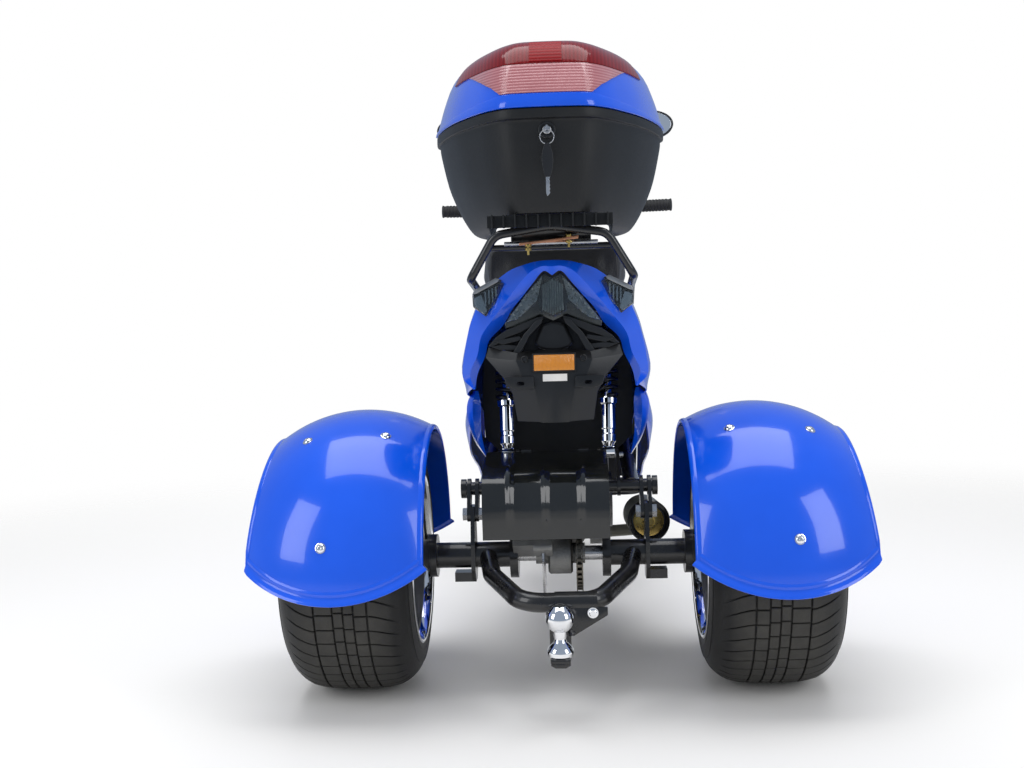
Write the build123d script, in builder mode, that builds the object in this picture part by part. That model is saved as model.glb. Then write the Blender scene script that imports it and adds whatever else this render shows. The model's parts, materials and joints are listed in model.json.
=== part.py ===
"""Motor trike: a step-through scooter body on a chain-driven two-wheel rear axle.

Frame: +X forward, +Y to the rider's left, +Z up, millimetres. The origin is on the ground,
at the centre of the vehicle's length and width. Pieces on the left are mirrored to the right.
"""
import os
from math import atan2, cos, degrees, pi, radians, sin, sqrt, tan

from build123d import *

os.makedirs("parts", exist_ok=True)

# Driving dimensions
wheelbase = 1400.0
rear_tyre_r = 254.0
rear_tyre_w = 254.0
rear_track = 790.0
front_tyre_r = 243.0
front_tyre_w = 130.0
rake = 27.0
rear_reach = 330.0
clearance = 0.3
running_clearance = 0.05
overrun = 10.0

# Stations along the length and the heights they set
rear_axle_x = -(wheelbase + front_tyre_r - rear_reach) / 2
front_axle_x = rear_axle_x + wheelbase
rear_axle_z = rear_tyre_r
front_axle_z = front_tyre_r
rear_wheel_y = rear_track / 2

# Rear tyre and rim
rear_rim_r = 160.0
rear_rim_w = 214.0
tyre_wall = 12.0
rear_tread_w = 190.0
rear_shoulder_drop = 24.0
front_tread_w = 80.0
front_shoulder_drop = 24.0
front_rim_r = 172.0
front_rim_w = 96.0
rim_wall = 5.0
rim_flange = 9.0
rear_disc_inset = 62.0
front_disc_inset = 55.0
rim_disc_t = 14.0
spoke_count = 5
spoke_w = 34.0
rear_hub_r = 62.0
front_hub_r = 40.0
rear_hub_l = 30.0
front_hub_l = 40.0
lug_circle_r = 45.0
lug_hole_r = 6.0
lug_count = 4

# Rear axle housing
shaft_r = 14.0
axle_tube_r = 25.0
axle_tube_wall = 4.0
axle_tube_inner_y = 98.0
axle_tube_outer_y = 256.0
hub_flange_r = 42.0
hub_flange_t = 14.0
bearing_plate_r = 46.0
bearing_plate_t = 16.0
side_plate_y = 166.0
side_plate_t = 8.0
side_plate_top = 98.0
side_plate_low = 50.0
side_plate_half_w = 34.0
foot_l = 34.0
foot_h = 18.0

# Differential, its disc and its sprocket
diff_r = 40.0
diff_half_w = 24.0
brake_disc_y = 30.0
brake_disc_r = 84.0
brake_disc_t = 4.0
sprocket_y = -37.0
sprocket_pitch_r = 70.0
sprocket_t = 6.0
sprocket_teeth = 34
pinion_teeth = 13
tooth_h = 3.0
pinion_r = 26.0
pinion_dx = 318.0
pinion_dz = 76.0
chain_gap = 9.0
chain_plate_t = 2.0
chain_plate_h = 10.0
chain_links = 84

def bent_tube(route, bend_r, tube_r):
    """A round tube along straight runs joined by bends of one radius."""
    with BuildPart() as tube:
        with BuildLine() as line:
            FilletPolyline(*route, radius=bend_r)
        with BuildSketch(Plane(line.line @ 0, z_dir=line.line % 0)):
            Circle(tube_r)
        sweep(path=line.line)
    return tube.part


def rod(start, end, radius):
    """A round bar between two points."""
    run = Vector(*end) - Vector(*start)
    with BuildPart() as bar:
        with BuildSketch(Plane(start, z_dir=run)):
            Circle(radius)
        extrude(amount=run.length)
    return bar.part


def side_plane(y):
    """A sketch plane that faces left: local x is to the rear, local y is up, and extruding adds to y."""
    return Plane(origin=(0, y, 0), x_dir=(-1, 0, 0), z_dir=(0, 1, 0))


def cross_plane(x, y=0.0, z=0.0):
    """A sketch plane that faces forward: local x is to the left, local y is up."""
    return Plane(origin=(x, y, z), x_dir=(0, 1, 0), z_dir=(1, 0, 0))


def side_slab(outline, y_low, y_high):
    """An outline of (x, z) points, extruded from one y to another."""
    with BuildPart() as slab:
        with BuildSketch(side_plane(y_low)):
            Polygon(*[(-x, z) for x, z in outline], align=None)
        extrude(amount=y_high - y_low)
    return slab.part


def cross_slab(outline, x_low, x_high):
    """An outline of (y, z) points, extruded from one x to another."""
    with BuildPart() as slab:
        with BuildSketch(cross_plane(x_low)):
            Polygon(*outline, align=None)
        extrude(amount=x_high - x_low)
    return slab.part


def y_cylinder(x, z, y_low, y_high, radius):
    """A round bar along the vehicle's width."""
    return rod((x, y_low, z), (x, y_high, z), radius)


def mirrored(part):
    return mirror(part, about=Plane.XZ)


def fused(*parts):
    with BuildPart() as whole:
        for part in parts:
            add(part)
    return whole.part


def less(part, *cutters):
    with BuildPart() as rest:
        add(part)
        for cutter in cutters:
            add(cutter, mode=Mode.SUBTRACT)
    return rest.part


def save(part, name):
    part.label = name
    export_step(part, f"parts/{name}.step")


def tyre(x, y, z, outer_r, width, rim_r, tread_w, drop, wall):
    """A hollow tyre: crowned tread, rounded shoulders, bulged sidewalls and two beads."""
    half = width / 2
    tread = tread_w / 2
    edge_r = outer_r - drop / 3
    bulge_r = (outer_r + rim_r) / 2
    bead = half - wall
    with BuildPart() as carcass:
        with BuildSketch(cross_plane(x, y, z)):
            with BuildLine():
                Line((-tread, edge_r), (-tread / 2, outer_r))
                Line((-tread / 2, outer_r), (tread / 2, outer_r))
                Line((tread / 2, outer_r), (tread, edge_r))
                ThreePointArc((tread, edge_r), (half - drop / 4, outer_r - drop), (half, bulge_r))
                Polyline(
                    (half, bulge_r), (bead, rim_r), (bead - wall, rim_r), (half - wall, bulge_r),
                    (tread, edge_r - wall), (-tread, edge_r - wall),
                    (-half + wall, bulge_r), (-bead + wall, rim_r), (-bead, rim_r), (-half, bulge_r),
                )
                ThreePointArc((-half, bulge_r), (-half + drop / 4, outer_r - drop), (-tread, edge_r))
            make_face()
        revolve(axis=Axis((x, y, z), (0, 1, 0)))
    return carcass.part


def cast_rim(x, y, z, rim_r, rim_w, disc_inset, hub_r, hub_l, bore_r, spokes, lug_circle=0.0):
    """A cast wheel: a barrel with two flanges, spokes near its left side and a bored hub."""
    half = rim_w / 2
    barrel_r = rim_r - rim_flange
    disc_y = y + half - disc_inset
    with BuildPart() as rim:
        with BuildSketch(cross_plane(x, y, z)):
            with BuildLine():
                Polyline(
                    (-half, rim_r), (-half, barrel_r - rim_wall), (half, barrel_r - rim_wall), (half, rim_r),
                    (half - rim_wall, rim_r), (half - rim_flange, barrel_r),
                    (-half + rim_flange, barrel_r), (-half + rim_wall, rim_r), close=True,
                )
            make_face()
        revolve(axis=Axis((x, y, z), (0, 1, 0)))
        with BuildSketch(side_plane(disc_y)):
            with Locations((-x, z)):
                Circle(hub_r)
                with PolarLocations(0, spokes):
                    with Locations((barrel_r / 2, 0)):
                        Rectangle(barrel_r - rim_wall / 2, spoke_w)
        extrude(amount=rim_disc_t)
        with BuildSketch(side_plane(disc_y + rim_disc_t - hub_l)):
            with Locations((-x, z)):
                Circle(hub_r)
        extrude(amount=hub_l)
        with BuildSketch(side_plane(disc_y - hub_l - rim_disc_t)):
            with Locations((-x, z)):
                Circle(bore_r)
                if lug_circle:
                    with PolarLocations(lug_circle, lug_count):
                        Circle(lug_hole_r)
        extrude(amount=2 * hub_l + 3 * rim_disc_t, mode=Mode.SUBTRACT)
    return rim.part


# Rear wheels: tyre, cast rim and a flanged shaft on each side
rear_tyre_left = tyre(
    rear_axle_x, rear_wheel_y, rear_axle_z, rear_tyre_r, rear_tyre_w,
    rear_rim_r + clearance, rear_tread_w, rear_shoulder_drop, tyre_wall,
)
rear_bore_r = 26.0
rear_rim_left = cast_rim(
    rear_axle_x, rear_wheel_y, rear_axle_z, rear_rim_r, rear_rim_w, rear_disc_inset,
    rear_hub_r, rear_hub_l, rear_bore_r, spoke_count, lug_circle_r,
)
rear_rim_back_y = rear_wheel_y + rear_rim_w / 2 - rear_disc_inset + rim_disc_t - rear_hub_l
shaft_flange_t = 12.0
hub_nut_r = 17.0
hub_nut_l = 22.0
lug_stud_l = 14.0
with BuildPart() as rear_hub_left:
    add(y_cylinder(rear_axle_x, rear_axle_z, diff_half_w + clearance, rear_rim_back_y, shaft_r))
    add(y_cylinder(rear_axle_x, rear_axle_z, rear_rim_back_y - shaft_flange_t, rear_rim_back_y, rear_hub_r))
    add(y_cylinder(rear_axle_x, rear_axle_z, rear_rim_back_y, rear_rim_back_y + rear_hub_l + hub_nut_l, hub_nut_r))
    with BuildSketch(side_plane(rear_rim_back_y)):
        with Locations((-rear_axle_x, rear_axle_z)):
            with PolarLocations(lug_circle_r, lug_count):
                Circle(lug_hole_r - clearance)
    extrude(amount=rear_hub_l + lug_stud_l)
for name, part in (("tyre", rear_tyre_left), ("rim", rear_rim_left), ("hub", rear_hub_left.part)):
    save(part, f"rear_{name}_left")
    save(mirrored(part), f"rear_{name}_right")

# Rear axle housing: two tubes with bearing plates and hub flanges, welded into two side plates
side_plate_outline = [
    (rear_axle_x - side_plate_half_w / 2, rear_axle_z + side_plate_top),
    (rear_axle_x + side_plate_half_w / 2, rear_axle_z + side_plate_top),
    (rear_axle_x + side_plate_half_w, rear_axle_z + axle_tube_r),
    (rear_axle_x + side_plate_half_w, rear_axle_z - axle_tube_r),
    (rear_axle_x + side_plate_half_w / 2, rear_axle_z - side_plate_low),
    (rear_axle_x - side_plate_half_w / 2, rear_axle_z - side_plate_low),
    (rear_axle_x - side_plate_half_w, rear_axle_z - axle_tube_r),
    (rear_axle_x - side_plate_half_w, rear_axle_z + axle_tube_r),
]
bolt_r = 7.0
upper_bolt_z = rear_axle_z + side_plate_top - side_plate_half_w / 2
with BuildPart() as axle_half:
    add(y_cylinder(rear_axle_x, rear_axle_z, axle_tube_inner_y, axle_tube_outer_y, axle_tube_r))
    add(y_cylinder(rear_axle_x, rear_axle_z, axle_tube_outer_y - hub_flange_t, axle_tube_outer_y, hub_flange_r))
    add(y_cylinder(rear_axle_x, rear_axle_z, axle_tube_inner_y - bearing_plate_t, axle_tube_inner_y, bearing_plate_r))
    add(side_slab(side_plate_outline, side_plate_y, side_plate_y + side_plate_t))
    with BuildSketch(side_plane(side_plate_y + side_plate_t)):
        with Locations((-rear_axle_x, rear_axle_z - side_plate_low + foot_h / 2)):
            Rectangle(side_plate_half_w, foot_h)
    extrude(amount=foot_l)
    bore = axle_tube_r - axle_tube_wall
    add(
        y_cylinder(rear_axle_x, rear_axle_z, axle_tube_inner_y - bearing_plate_t + hub_flange_t,
                   axle_tube_outer_y - hub_flange_t, bore),
        mode=Mode.SUBTRACT,
    )
    add(
        y_cylinder(rear_axle_x, rear_axle_z, 0, axle_tube_outer_y + overrun, shaft_r + running_clearance),
        mode=Mode.SUBTRACT,
    )
    add(
        y_cylinder(rear_axle_x, upper_bolt_z, side_plate_y - overrun, side_plate_y + side_plate_t + overrun,
                   bolt_r + running_clearance),
        mode=Mode.SUBTRACT,
    )
save(fused(axle_half.part, mirrored(axle_half.part)), "axle_housing")

# Differential case with its brake disc and sprocket: it turns on the ends of the half shafts
diff_chamfer = 4.0
with BuildPart() as differential:
    add(y_cylinder(rear_axle_x, rear_axle_z, -diff_half_w, diff_half_w, diff_r))
    add(y_cylinder(rear_axle_x, rear_axle_z, -diff_half_w - diff_half_w, diff_half_w + diff_half_w, diff_r / 2))
    add(
        y_cylinder(rear_axle_x, rear_axle_z, diff_half_w, 3 * diff_half_w, shaft_r + running_clearance),
        mode=Mode.SUBTRACT,
    )
    add(
        y_cylinder(rear_axle_x, rear_axle_z, -3 * diff_half_w, -diff_half_w, shaft_r + running_clearance),
        mode=Mode.SUBTRACT,
    )
    rims = differential.edges().filter_by(GeomType.CIRCLE).group_by(SortBy.RADIUS)[-1]
    chamfer(rims, diff_chamfer)
save(differential.part, "differential")

disc_hole_count = 12
disc_hole_r = 5.0
with BuildPart() as brake_disc:
    with BuildSketch(side_plane(brake_disc_y)):
        with Locations((-rear_axle_x, rear_axle_z)):
            Circle(brake_disc_r)
            Circle(diff_r / 2 + clearance, mode=Mode.SUBTRACT)
            with PolarLocations((brake_disc_r + diff_r) / 2, disc_hole_count):
                Circle(disc_hole_r, mode=Mode.SUBTRACT)
    extrude(amount=brake_disc_t)
save(brake_disc.part, "rear_brake_disc")


def toothed_wheel(x, z, y_mid, pitch_r, teeth, bore_r):
    """A sprocket whose short teeth stand under the rollers of the chain."""
    with BuildPart() as wheel:
        with BuildSketch(side_plane(y_mid - sprocket_t / 2)):
            with Locations((-x, z)):
                Circle(pitch_r - 2 * tooth_h)
                with PolarLocations(pitch_r - 2 * tooth_h, teeth):
                    Rectangle(2 * tooth_h, tooth_h)
                Circle(bore_r, mode=Mode.SUBTRACT)
        extrude(amount=sprocket_t)
    return wheel.part


save(
    toothed_wheel(rear_axle_x, rear_axle_z, sprocket_y, sprocket_pitch_r, sprocket_teeth, diff_r / 2 + clearance),
    "rear_sprocket",
)

# Drive chain: two side plates round both sprockets, joined by rollers
pinion_x = rear_axle_x + pinion_dx
pinion_z = rear_axle_z + pinion_dz
span = sqrt(pinion_dx**2 + pinion_dz**2)
run_angle = degrees(atan2(pinion_dz, pinion_dx))
wrap = degrees(atan2(sprocket_pitch_r - pinion_r, span))


def chain_loop(grow):
    """The outline that encloses both sprockets at the pitch line plus a growth."""
    with BuildSketch(Plane.XY) as loop:
        big_r = sprocket_pitch_r + grow
        small_r = pinion_r + grow
        Circle(big_r)
        with Locations((span, 0)):
            Circle(small_r)
        tilt = radians(wrap)
        Polygon(
            (big_r * sin(tilt), big_r * cos(tilt)), (span + small_r * sin(tilt), small_r * cos(tilt)),
            (span + small_r * sin(tilt), -small_r * cos(tilt)), (big_r * sin(tilt), -big_r * cos(tilt)),
            align=None,
        )
    return loop.sketch


def chain_plane(y):
    """Local x runs from the axle to the engine's sprocket."""
    tilt = radians(run_angle)
    return Plane(origin=(rear_axle_x, y, rear_axle_z), x_dir=(cos(tilt), 0, sin(tilt)), z_dir=(0, -1, 0))


straight = sqrt(span**2 - (sprocket_pitch_r - pinion_r) ** 2)
big_arc = sprocket_pitch_r * (pi + 2 * radians(wrap))
small_arc = pinion_r * (pi - 2 * radians(wrap))
loop_length = 2 * straight + big_arc + small_arc


def chain_point(distance):
    """The place and heading at a distance along the pitch line, from the top of the big sprocket."""
    tilt = radians(wrap)
    if distance < straight:
        share = distance / straight
        start = Vector(sprocket_pitch_r * sin(tilt), sprocket_pitch_r * cos(tilt))
        end = Vector(span + pinion_r * sin(tilt), pinion_r * cos(tilt))
        return start + (end - start) * share, -wrap
    distance -= straight
    if distance < small_arc:
        angle = pi / 2 - tilt - distance / pinion_r
        return Vector(span + pinion_r * cos(angle), pinion_r * sin(angle)), degrees(angle) - 90
    distance -= small_arc
    if distance < straight:
        share = distance / straight
        start = Vector(span + pinion_r * sin(tilt), -pinion_r * cos(tilt))
        end = Vector(sprocket_pitch_r * sin(tilt), -sprocket_pitch_r * cos(tilt))
        return start + (end - start) * share, wrap
    distance -= straight
    angle = -pi / 2 + tilt - distance / sprocket_pitch_r
    return Vector(sprocket_pitch_r * cos(angle), sprocket_pitch_r * sin(angle)), degrees(angle) - 90


chain_w = chain_gap + 2 * chain_plate_t
roller_h = 5.0
with BuildPart() as chain:
    for plate_y in (sprocket_y + chain_gap / 2 + chain_plate_t, sprocket_y - chain_gap / 2):
        with BuildSketch(chain_plane(plate_y)):
            add(chain_loop(chain_plate_h / 2))
            add(chain_loop(-chain_plate_h / 2), mode=Mode.SUBTRACT)
        extrude(amount=chain_plate_t)
    with BuildSketch(chain_plane(sprocket_y + chain_gap / 2)):
        for link in range(chain_links):
            place, heading = chain_point(link * loop_length / chain_links)
            with Locations(Location((place.X, place.Y), heading)):
                Rectangle(roller_h, roller_h)
    extrude(amount=chain_gap)
save(chain.part, "drive_chain")


def aft(forward):
    """The x of a place by its distance ahead of the rear axle."""
    return rear_axle_x + forward


def link_plate(y_low, y_high, end_a, end_b):
    """A plate with round ends: each end is (x, z, radius)."""
    with BuildPart() as plate:
        with BuildSketch(side_plane(y_low)):
            for x, z, radius in (end_a, end_b):
                with Locations((-x, z)):
                    Circle(radius)
            make_hull()
        extrude(amount=y_high - y_low)
    return plate.part


def spread(points, grow):
    """The points of an open strip moved to its left by a thickness, square to the strip."""
    moved = []
    for index, (u, v) in enumerate(points):
        before = points[max(index - 1, 0)]
        after = points[min(index + 1, len(points) - 1)]
        run_u, run_v = after[0] - before[0], after[1] - before[1]
        length = sqrt(run_u**2 + run_v**2)
        moved.append((u - grow * run_v / length, v + grow * run_u / length))
    return moved


def strip(points, wall):
    """The closed outline of a bent strip of one thickness."""
    return list(points) + spread(points, wall)[::-1]


def shell_loft(stations, wall, ruled=True):
    """A thin panel through stations along the length: each is (x, [(y, z), ...])."""
    with BuildPart() as panel:
        for x, points in stations:
            with BuildSketch(cross_plane(x)):
                Polygon(*strip(points, wall), align=None)
        loft(ruled=ruled)
    return panel.part


def wrap_loft(stations, wall):
    """A thin panel through level sections: each is (z, [(x, y), ...]) from the left edge to the right."""
    with BuildPart() as panel:
        for z, points in stations:
            with BuildSketch(Plane.XY.offset(z)):
                Polygon(*strip(points, wall), align=None)
        loft(ruled=True)
    return panel.part


# Swing frame: cross tube over the axle, two arms forward to the pivot, clevises down to the side plates
cross_tube_r = 13.0
cross_tube_dx = 25.0
cross_tube_z = 382.0
cross_tube_half_l = 184.0
cap_r = 19.0
cap_t = 10.0
arm_y = 144.0
arm_r = 16.0
pivot_dx = 456.0
pivot_z = 440.0
pivot_r = 15.0
pivot_eye_r = 22.0
clevis_t = 7.0
clevis_top_r = 20.0
clevis_low_r = 15.0
shock_y = 100.0
shock_lower_dx = 62.0
shock_lower_z = 440.0
shock_tab_t = 6.0
shock_eye_w = 30.0
shock_eye_r = 14.0
shock_pin_r = 6.0
cross_tube_x = aft(cross_tube_dx)
shock_lower_x = aft(shock_lower_dx)
side_plate_out_y = side_plate_y + side_plate_t
with BuildPart() as swing_half:
    add(y_cylinder(cross_tube_x, cross_tube_z, cross_tube_half_l, cross_tube_half_l + cap_t, cap_r))
    add(rod((cross_tube_x, arm_y, cross_tube_z), (aft(pivot_dx), arm_y, pivot_z), arm_r))
    add(y_cylinder(aft(pivot_dx), pivot_z, arm_y - pivot_eye_r, arm_y + pivot_eye_r, pivot_eye_r))
    for y_low in (side_plate_y - clearance - clevis_t, side_plate_out_y + clearance):
        add(link_plate(
            y_low, y_low + clevis_t,
            (cross_tube_x, cross_tube_z, clevis_top_r), (rear_axle_x, upper_bolt_z, clevis_low_r),
        ))
    for y_low in (shock_y - shock_eye_w / 2 - clearance - shock_tab_t, shock_y + shock_eye_w / 2 + clearance):
        add(link_plate(
            y_low, y_low + shock_tab_t,
            (cross_tube_x, cross_tube_z, clevis_top_r), (shock_lower_x, shock_lower_z, shock_eye_r),
        ))
    add(
        y_cylinder(rear_axle_x, upper_bolt_z, shock_y, side_plate_out_y + side_plate_y, bolt_r + running_clearance),
        mode=Mode.SUBTRACT,
    )
    add(y_cylinder(aft(pivot_dx), pivot_z, 0, arm_y + arm_y, pivot_r), mode=Mode.SUBTRACT)
    add(
        y_cylinder(shock_lower_x, shock_lower_z, 0, arm_y, shock_pin_r + running_clearance),
        mode=Mode.SUBTRACT,
    )
cross_tube = y_cylinder(cross_tube_x, cross_tube_z, -cross_tube_half_l, cross_tube_half_l, cross_tube_r)

# Bolts through the clevises and the side plates
bolt_head_r = 13.0
bolt_head_t = 9.0
bolt_half_grip = clevis_t + clearance + side_plate_t / 2
bolt_mid_y = side_plate_y + side_plate_t / 2
with BuildPart() as bolt:
    add(y_cylinder(rear_axle_x, upper_bolt_z, bolt_mid_y - bolt_half_grip, bolt_mid_y + bolt_half_grip, bolt_r))
    for y_low in (bolt_mid_y - bolt_half_grip - bolt_head_t, bolt_mid_y + bolt_half_grip):
        with BuildSketch(side_plane(y_low)):
            with Locations((-rear_axle_x, upper_bolt_z)):
                RegularPolygon(bolt_head_r, 6)
        extrude(amount=bolt_head_t)

# Towing hoop: a bent tube from one axle tube round the rear to the other
hoop_r = 17.5
hoop_bend_r = 60.0
hoop_start_y = 143.0
hoop_corner_y = 128.0
hoop_rear_y = 66.0
hoop_drop = 38.0
hoop_reach = 260.0
hoop_corner_share = 0.45
hoop_z = rear_axle_z - hoop_drop
hoop_rear_x = rear_axle_x - hoop_reach
hoop_corner_x = rear_axle_x - hoop_reach * hoop_corner_share
hoop_corner_z = rear_axle_z - hoop_drop * hoop_corner_share
hoop = less(
    bent_tube(
        [
            (rear_axle_x, hoop_start_y, rear_axle_z),
            (hoop_corner_x, hoop_corner_y, hoop_corner_z),
            (hoop_rear_x, hoop_rear_y, hoop_z),
            (hoop_rear_x, -hoop_rear_y, hoop_z),
            (hoop_corner_x, -hoop_corner_y, hoop_corner_z),
            (rear_axle_x, -hoop_start_y, rear_axle_z),
        ],
        hoop_bend_r, hoop_r,
    ),
    y_cylinder(rear_axle_x, rear_axle_z, -side_plate_y, side_plate_y, axle_tube_r),
)
save(hoop, "hitch_hoop")

# Ball mount: a tongue under the hoop, a web on its right, and the ball
ball_r = 25.4
ball_reach = 302.0
ball_z = 198.0
ball_top_share = 0.86
ball_neck_r = 13.0
ball_flare_r = 23.0
ball_flare_t = 12.0
ball_stud_r = 9.5
tongue_z = 152.0
tongue_t = 10.0
tongue_half_w = 30.0
web_t = 10.0
web_y = -24.0
web_r = 14.0
nut_r = 19.0
nut_t = 16.0
stud_tail = 6.0
ball_x = rear_axle_x - ball_reach
with BuildPart() as hitch_plate:
    with BuildSketch(Plane.XY.offset(tongue_z)):
        with Locations((ball_x, 0)):
            Circle(tongue_half_w)
        with Locations((hoop_rear_x + hoop_r, 0)):
            Rectangle(tongue_half_w, 2 * tongue_half_w)
        make_hull()
        with Locations((ball_x, 0)):
            Circle(ball_stud_r + running_clearance, mode=Mode.SUBTRACT)
    extrude(amount=tongue_t)
    for y_low in (web_y - web_t / 2, -web_y - web_t / 2):
        add(link_plate(
            y_low, y_low + web_t,
            (hoop_rear_x, hoop_z, hoop_r + web_r), (hoop_rear_x + hoop_r, tongue_z + web_r, web_r),
        ))
web_stop = y_cylinder(ball_x, ball_z, web_y - web_t, web_t - web_y, ball_r + clearance)
save(less(hitch_plate.part, hoop, web_stop), "hitch_plate")

with BuildPart() as tow_ball:
    with BuildSketch(cross_plane(ball_x)):
        with BuildLine():
            half_top = ball_r * sqrt(1 - ball_top_share**2)
            neck_drop = sqrt(ball_r**2 - ball_neck_r**2)
            Line((0, ball_z + ball_r * ball_top_share), (half_top, ball_z + ball_r * ball_top_share))
            ThreePointArc(
                (half_top, ball_z + ball_r * ball_top_share), (ball_r, ball_z), (ball_neck_r, ball_z - neck_drop)
            )
            Polyline(
                (ball_neck_r, ball_z - neck_drop),
                (ball_flare_r, tongue_z + tongue_t + ball_flare_t / 2), (ball_flare_r, tongue_z + tongue_t),
                (ball_stud_r, tongue_z + tongue_t), (ball_stud_r, tongue_z - nut_t - stud_tail),
                (0, tongue_z - nut_t - stud_tail), (0, ball_z + ball_r * ball_top_share),
            )
        make_face()
    revolve(axis=Axis((ball_x, 0, 0), (0, 0, 1)))
    with BuildSketch(Plane(origin=(ball_x, 0, tongue_z - nut_t))):
        RegularPolygon(nut_r, 6)
    extrude(amount=nut_t)
save(tow_ball.part, "tow_ball")

# Rear guard: a bent sheet over the chain and the brake, with three pressed ribs
guard_half_w = 118.0
guard_shift = 23.0
guard_t = 3.0
guard_front_dx = 22.0
guard_front_z = 454.0
guard_edge_dx = -140.0
guard_edge_z = 427.0
guard_low_z = 309.0
guard_bend_r = 26.0
guard_low_dx = -152.0
rib_count = 3
rib_pitch = 66.0
rib_w = 12.0
rib_h = 3.0
rib_low_share = 0.3


def guard_sheet(y_low, y_high, grow):
    """The guard's bent strip between two y, its outer face moved out by a growth."""
    route = [(guard_front_dx, guard_front_z), (guard_edge_dx, guard_edge_z), (guard_low_dx, guard_low_z)]
    with BuildPart() as sheet:
        with BuildSketch(side_plane(y_low)):
            with BuildLine():
                FilletPolyline(*[(-aft(dx), z) for dx, z in route], radius=guard_bend_r)
                offset(amount=guard_t + grow, side=Side.LEFT)
            make_face()
        extrude(amount=y_high - y_low)
    return sheet.part


guard_low_y = guard_shift - guard_half_w
guard = guard_sheet(guard_low_y, guard_low_y + 2 * guard_half_w, 0)
rib_box_top = guard_front_z + guard_bend_r
rib_box_low = guard_low_z + rib_low_share * (guard_edge_z - guard_low_z)
ribs = []
for rib in range(rib_count):
    rib_y = guard_shift + (rib - (rib_count - 1) / 2) * rib_pitch
    ribs.append(less(
        guard_sheet(rib_y - rib_w / 2, rib_y + rib_w / 2, rib_h),
        side_slab(
            [(aft(-hoop_reach), 0), (aft(guard_front_dx), 0), (aft(guard_front_dx), rib_box_low),
             (aft(-hoop_reach), rib_box_low)],
            rib_y - rib_w, rib_y + rib_w,
        ),
    ))
guard_leg_w = 20.0
guard_leg_y_shares = (-0.62, 0.34)
guard_legs = []
guard_over = side_slab(
    [(aft(guard_edge_dx), guard_edge_z), (aft(guard_front_dx), guard_front_z),
     (aft(guard_front_dx), guard_front_z + guard_bend_r), (aft(guard_edge_dx), guard_front_z + guard_bend_r)],
    guard_low_y, guard_low_y + 2 * guard_half_w,
)
for leg_share in guard_leg_y_shares:
    leg_y = guard_shift + leg_share * guard_half_w
    guard_legs.append(less(
        side_slab(
            [(cross_tube_x - guard_leg_w / 2, cross_tube_z), (cross_tube_x + guard_leg_w / 2, cross_tube_z),
             (cross_tube_x + guard_leg_w / 2, guard_front_z + guard_t), (cross_tube_x - guard_leg_w, guard_front_z + guard_t)],
            leg_y - guard_leg_w / 2, leg_y + guard_leg_w / 2,
        ),
        guard, guard_over,
    ))
save(fused(guard, *ribs), "rear_guard")
save(fused(cross_tube, swing_half.part, mirrored(swing_half.part), *guard_legs), "swing_frame")

# Steering axis: it leans back by the rake and passes behind the front axle
fork_offset = 30.0
lean = radians(rake)
steer_foot_x = front_axle_x - fork_offset * cos(lean)
steer_foot_z = front_axle_z - fork_offset * sin(lean)


def on_steering(along, ahead=0.0, y=0.0):
    """A point by its distance up the steering axis, ahead of it and to the left of it."""
    return (
        steer_foot_x - along * sin(lean) + ahead * cos(lean),
        y,
        steer_foot_z + along * cos(lean) + ahead * sin(lean),
    )


def steering_plane(along, ahead=0.0, y=0.0):
    """A plane square to the steering axis: local x points ahead, local y to the left."""
    return Plane(
        origin=on_steering(along, ahead, y), x_dir=(cos(lean), 0, sin(lean)), z_dir=(-sin(lean), 0, cos(lean))
    )


# Frame: head tube, down tube, two floor rails that rise to the tail, and the cross bars
head_low = 345.0
head_high = 520.0
head_r = 28.0
head_bore_r = 20.0
down_tube_r = 24.0
rail_r = 14.0
rail_y = 104.0
rail_bend_r = 60.0
floor_rail_z = 240.0
floor_front_x = 350.0
down_tube_dx = 62.0
down_tube_dz = 210.0
rise_start_dx = 742.0
floor_bar_dx = 800.0
rise_knee_dx = 690.0
rise_knee_z = 622.0
tail_rail_front_dx = 300.0
tail_rail_front_z = 690.0
tail_rail_rear_dx = -70.0
tail_rail_rear_z = 745.0
cross_bar_r = 12.0
pivot_plate_lean = 46.0
seat_rear_dx = 112.0
seat_l = 628.0
seat_hinge_inset = 24.0
seat_hinge_dx = seat_rear_dx + seat_l - seat_hinge_inset
seat_hinge_z = 690.0
seat_ear_y = 34.0
seat_ear_r = 11.0
seat_pin_r = 4.0
seat_bar_dx = 690.0
seat_bar_z = 622.0
shock_upper_dx = 110.0
shock_upper_z = 672.0
head_mid = on_steering((head_low + head_high) / 2)
tail_rail_slope = (tail_rail_rear_z - tail_rail_front_z) / (tail_rail_front_dx - tail_rail_rear_dx)
shock_bar_z = tail_rail_front_z + (tail_rail_front_dx - shock_upper_dx) * tail_rail_slope
rail = bent_tube(
    [
        (floor_front_x, rail_y, floor_rail_z),
        (aft(rise_start_dx), rail_y, floor_rail_z),
        (aft(rise_knee_dx), rail_y, rise_knee_z),
        (aft(tail_rail_front_dx), rail_y, tail_rail_front_z),
        (aft(tail_rail_rear_dx), rail_y, tail_rail_rear_z),
    ],
    rail_bend_r, rail_r,
)
down_tube = bent_tube(
    [
        head_mid,
        (floor_front_x + down_tube_dx, 0, floor_rail_z + down_tube_dz),
        (floor_front_x, 0, floor_rail_z),
    ],
    rail_bend_r, down_tube_r,
)
frame_bars = [(aft(seat_bar_dx), seat_bar_z, cross_bar_r), (floor_front_x, floor_rail_z, cross_bar_r), (aft(floor_bar_dx), floor_rail_z, cross_bar_r),
              (aft(tail_rail_front_dx), tail_rail_front_z, cross_bar_r),
              (aft(shock_upper_dx), shock_bar_z, cross_bar_r), (aft(tail_rail_rear_dx), tail_rail_rear_z, cross_bar_r)]
frame_tubes = [down_tube, rail, mirrored(rail), rod(on_steering(head_low), on_steering(head_high), head_r)]
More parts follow.
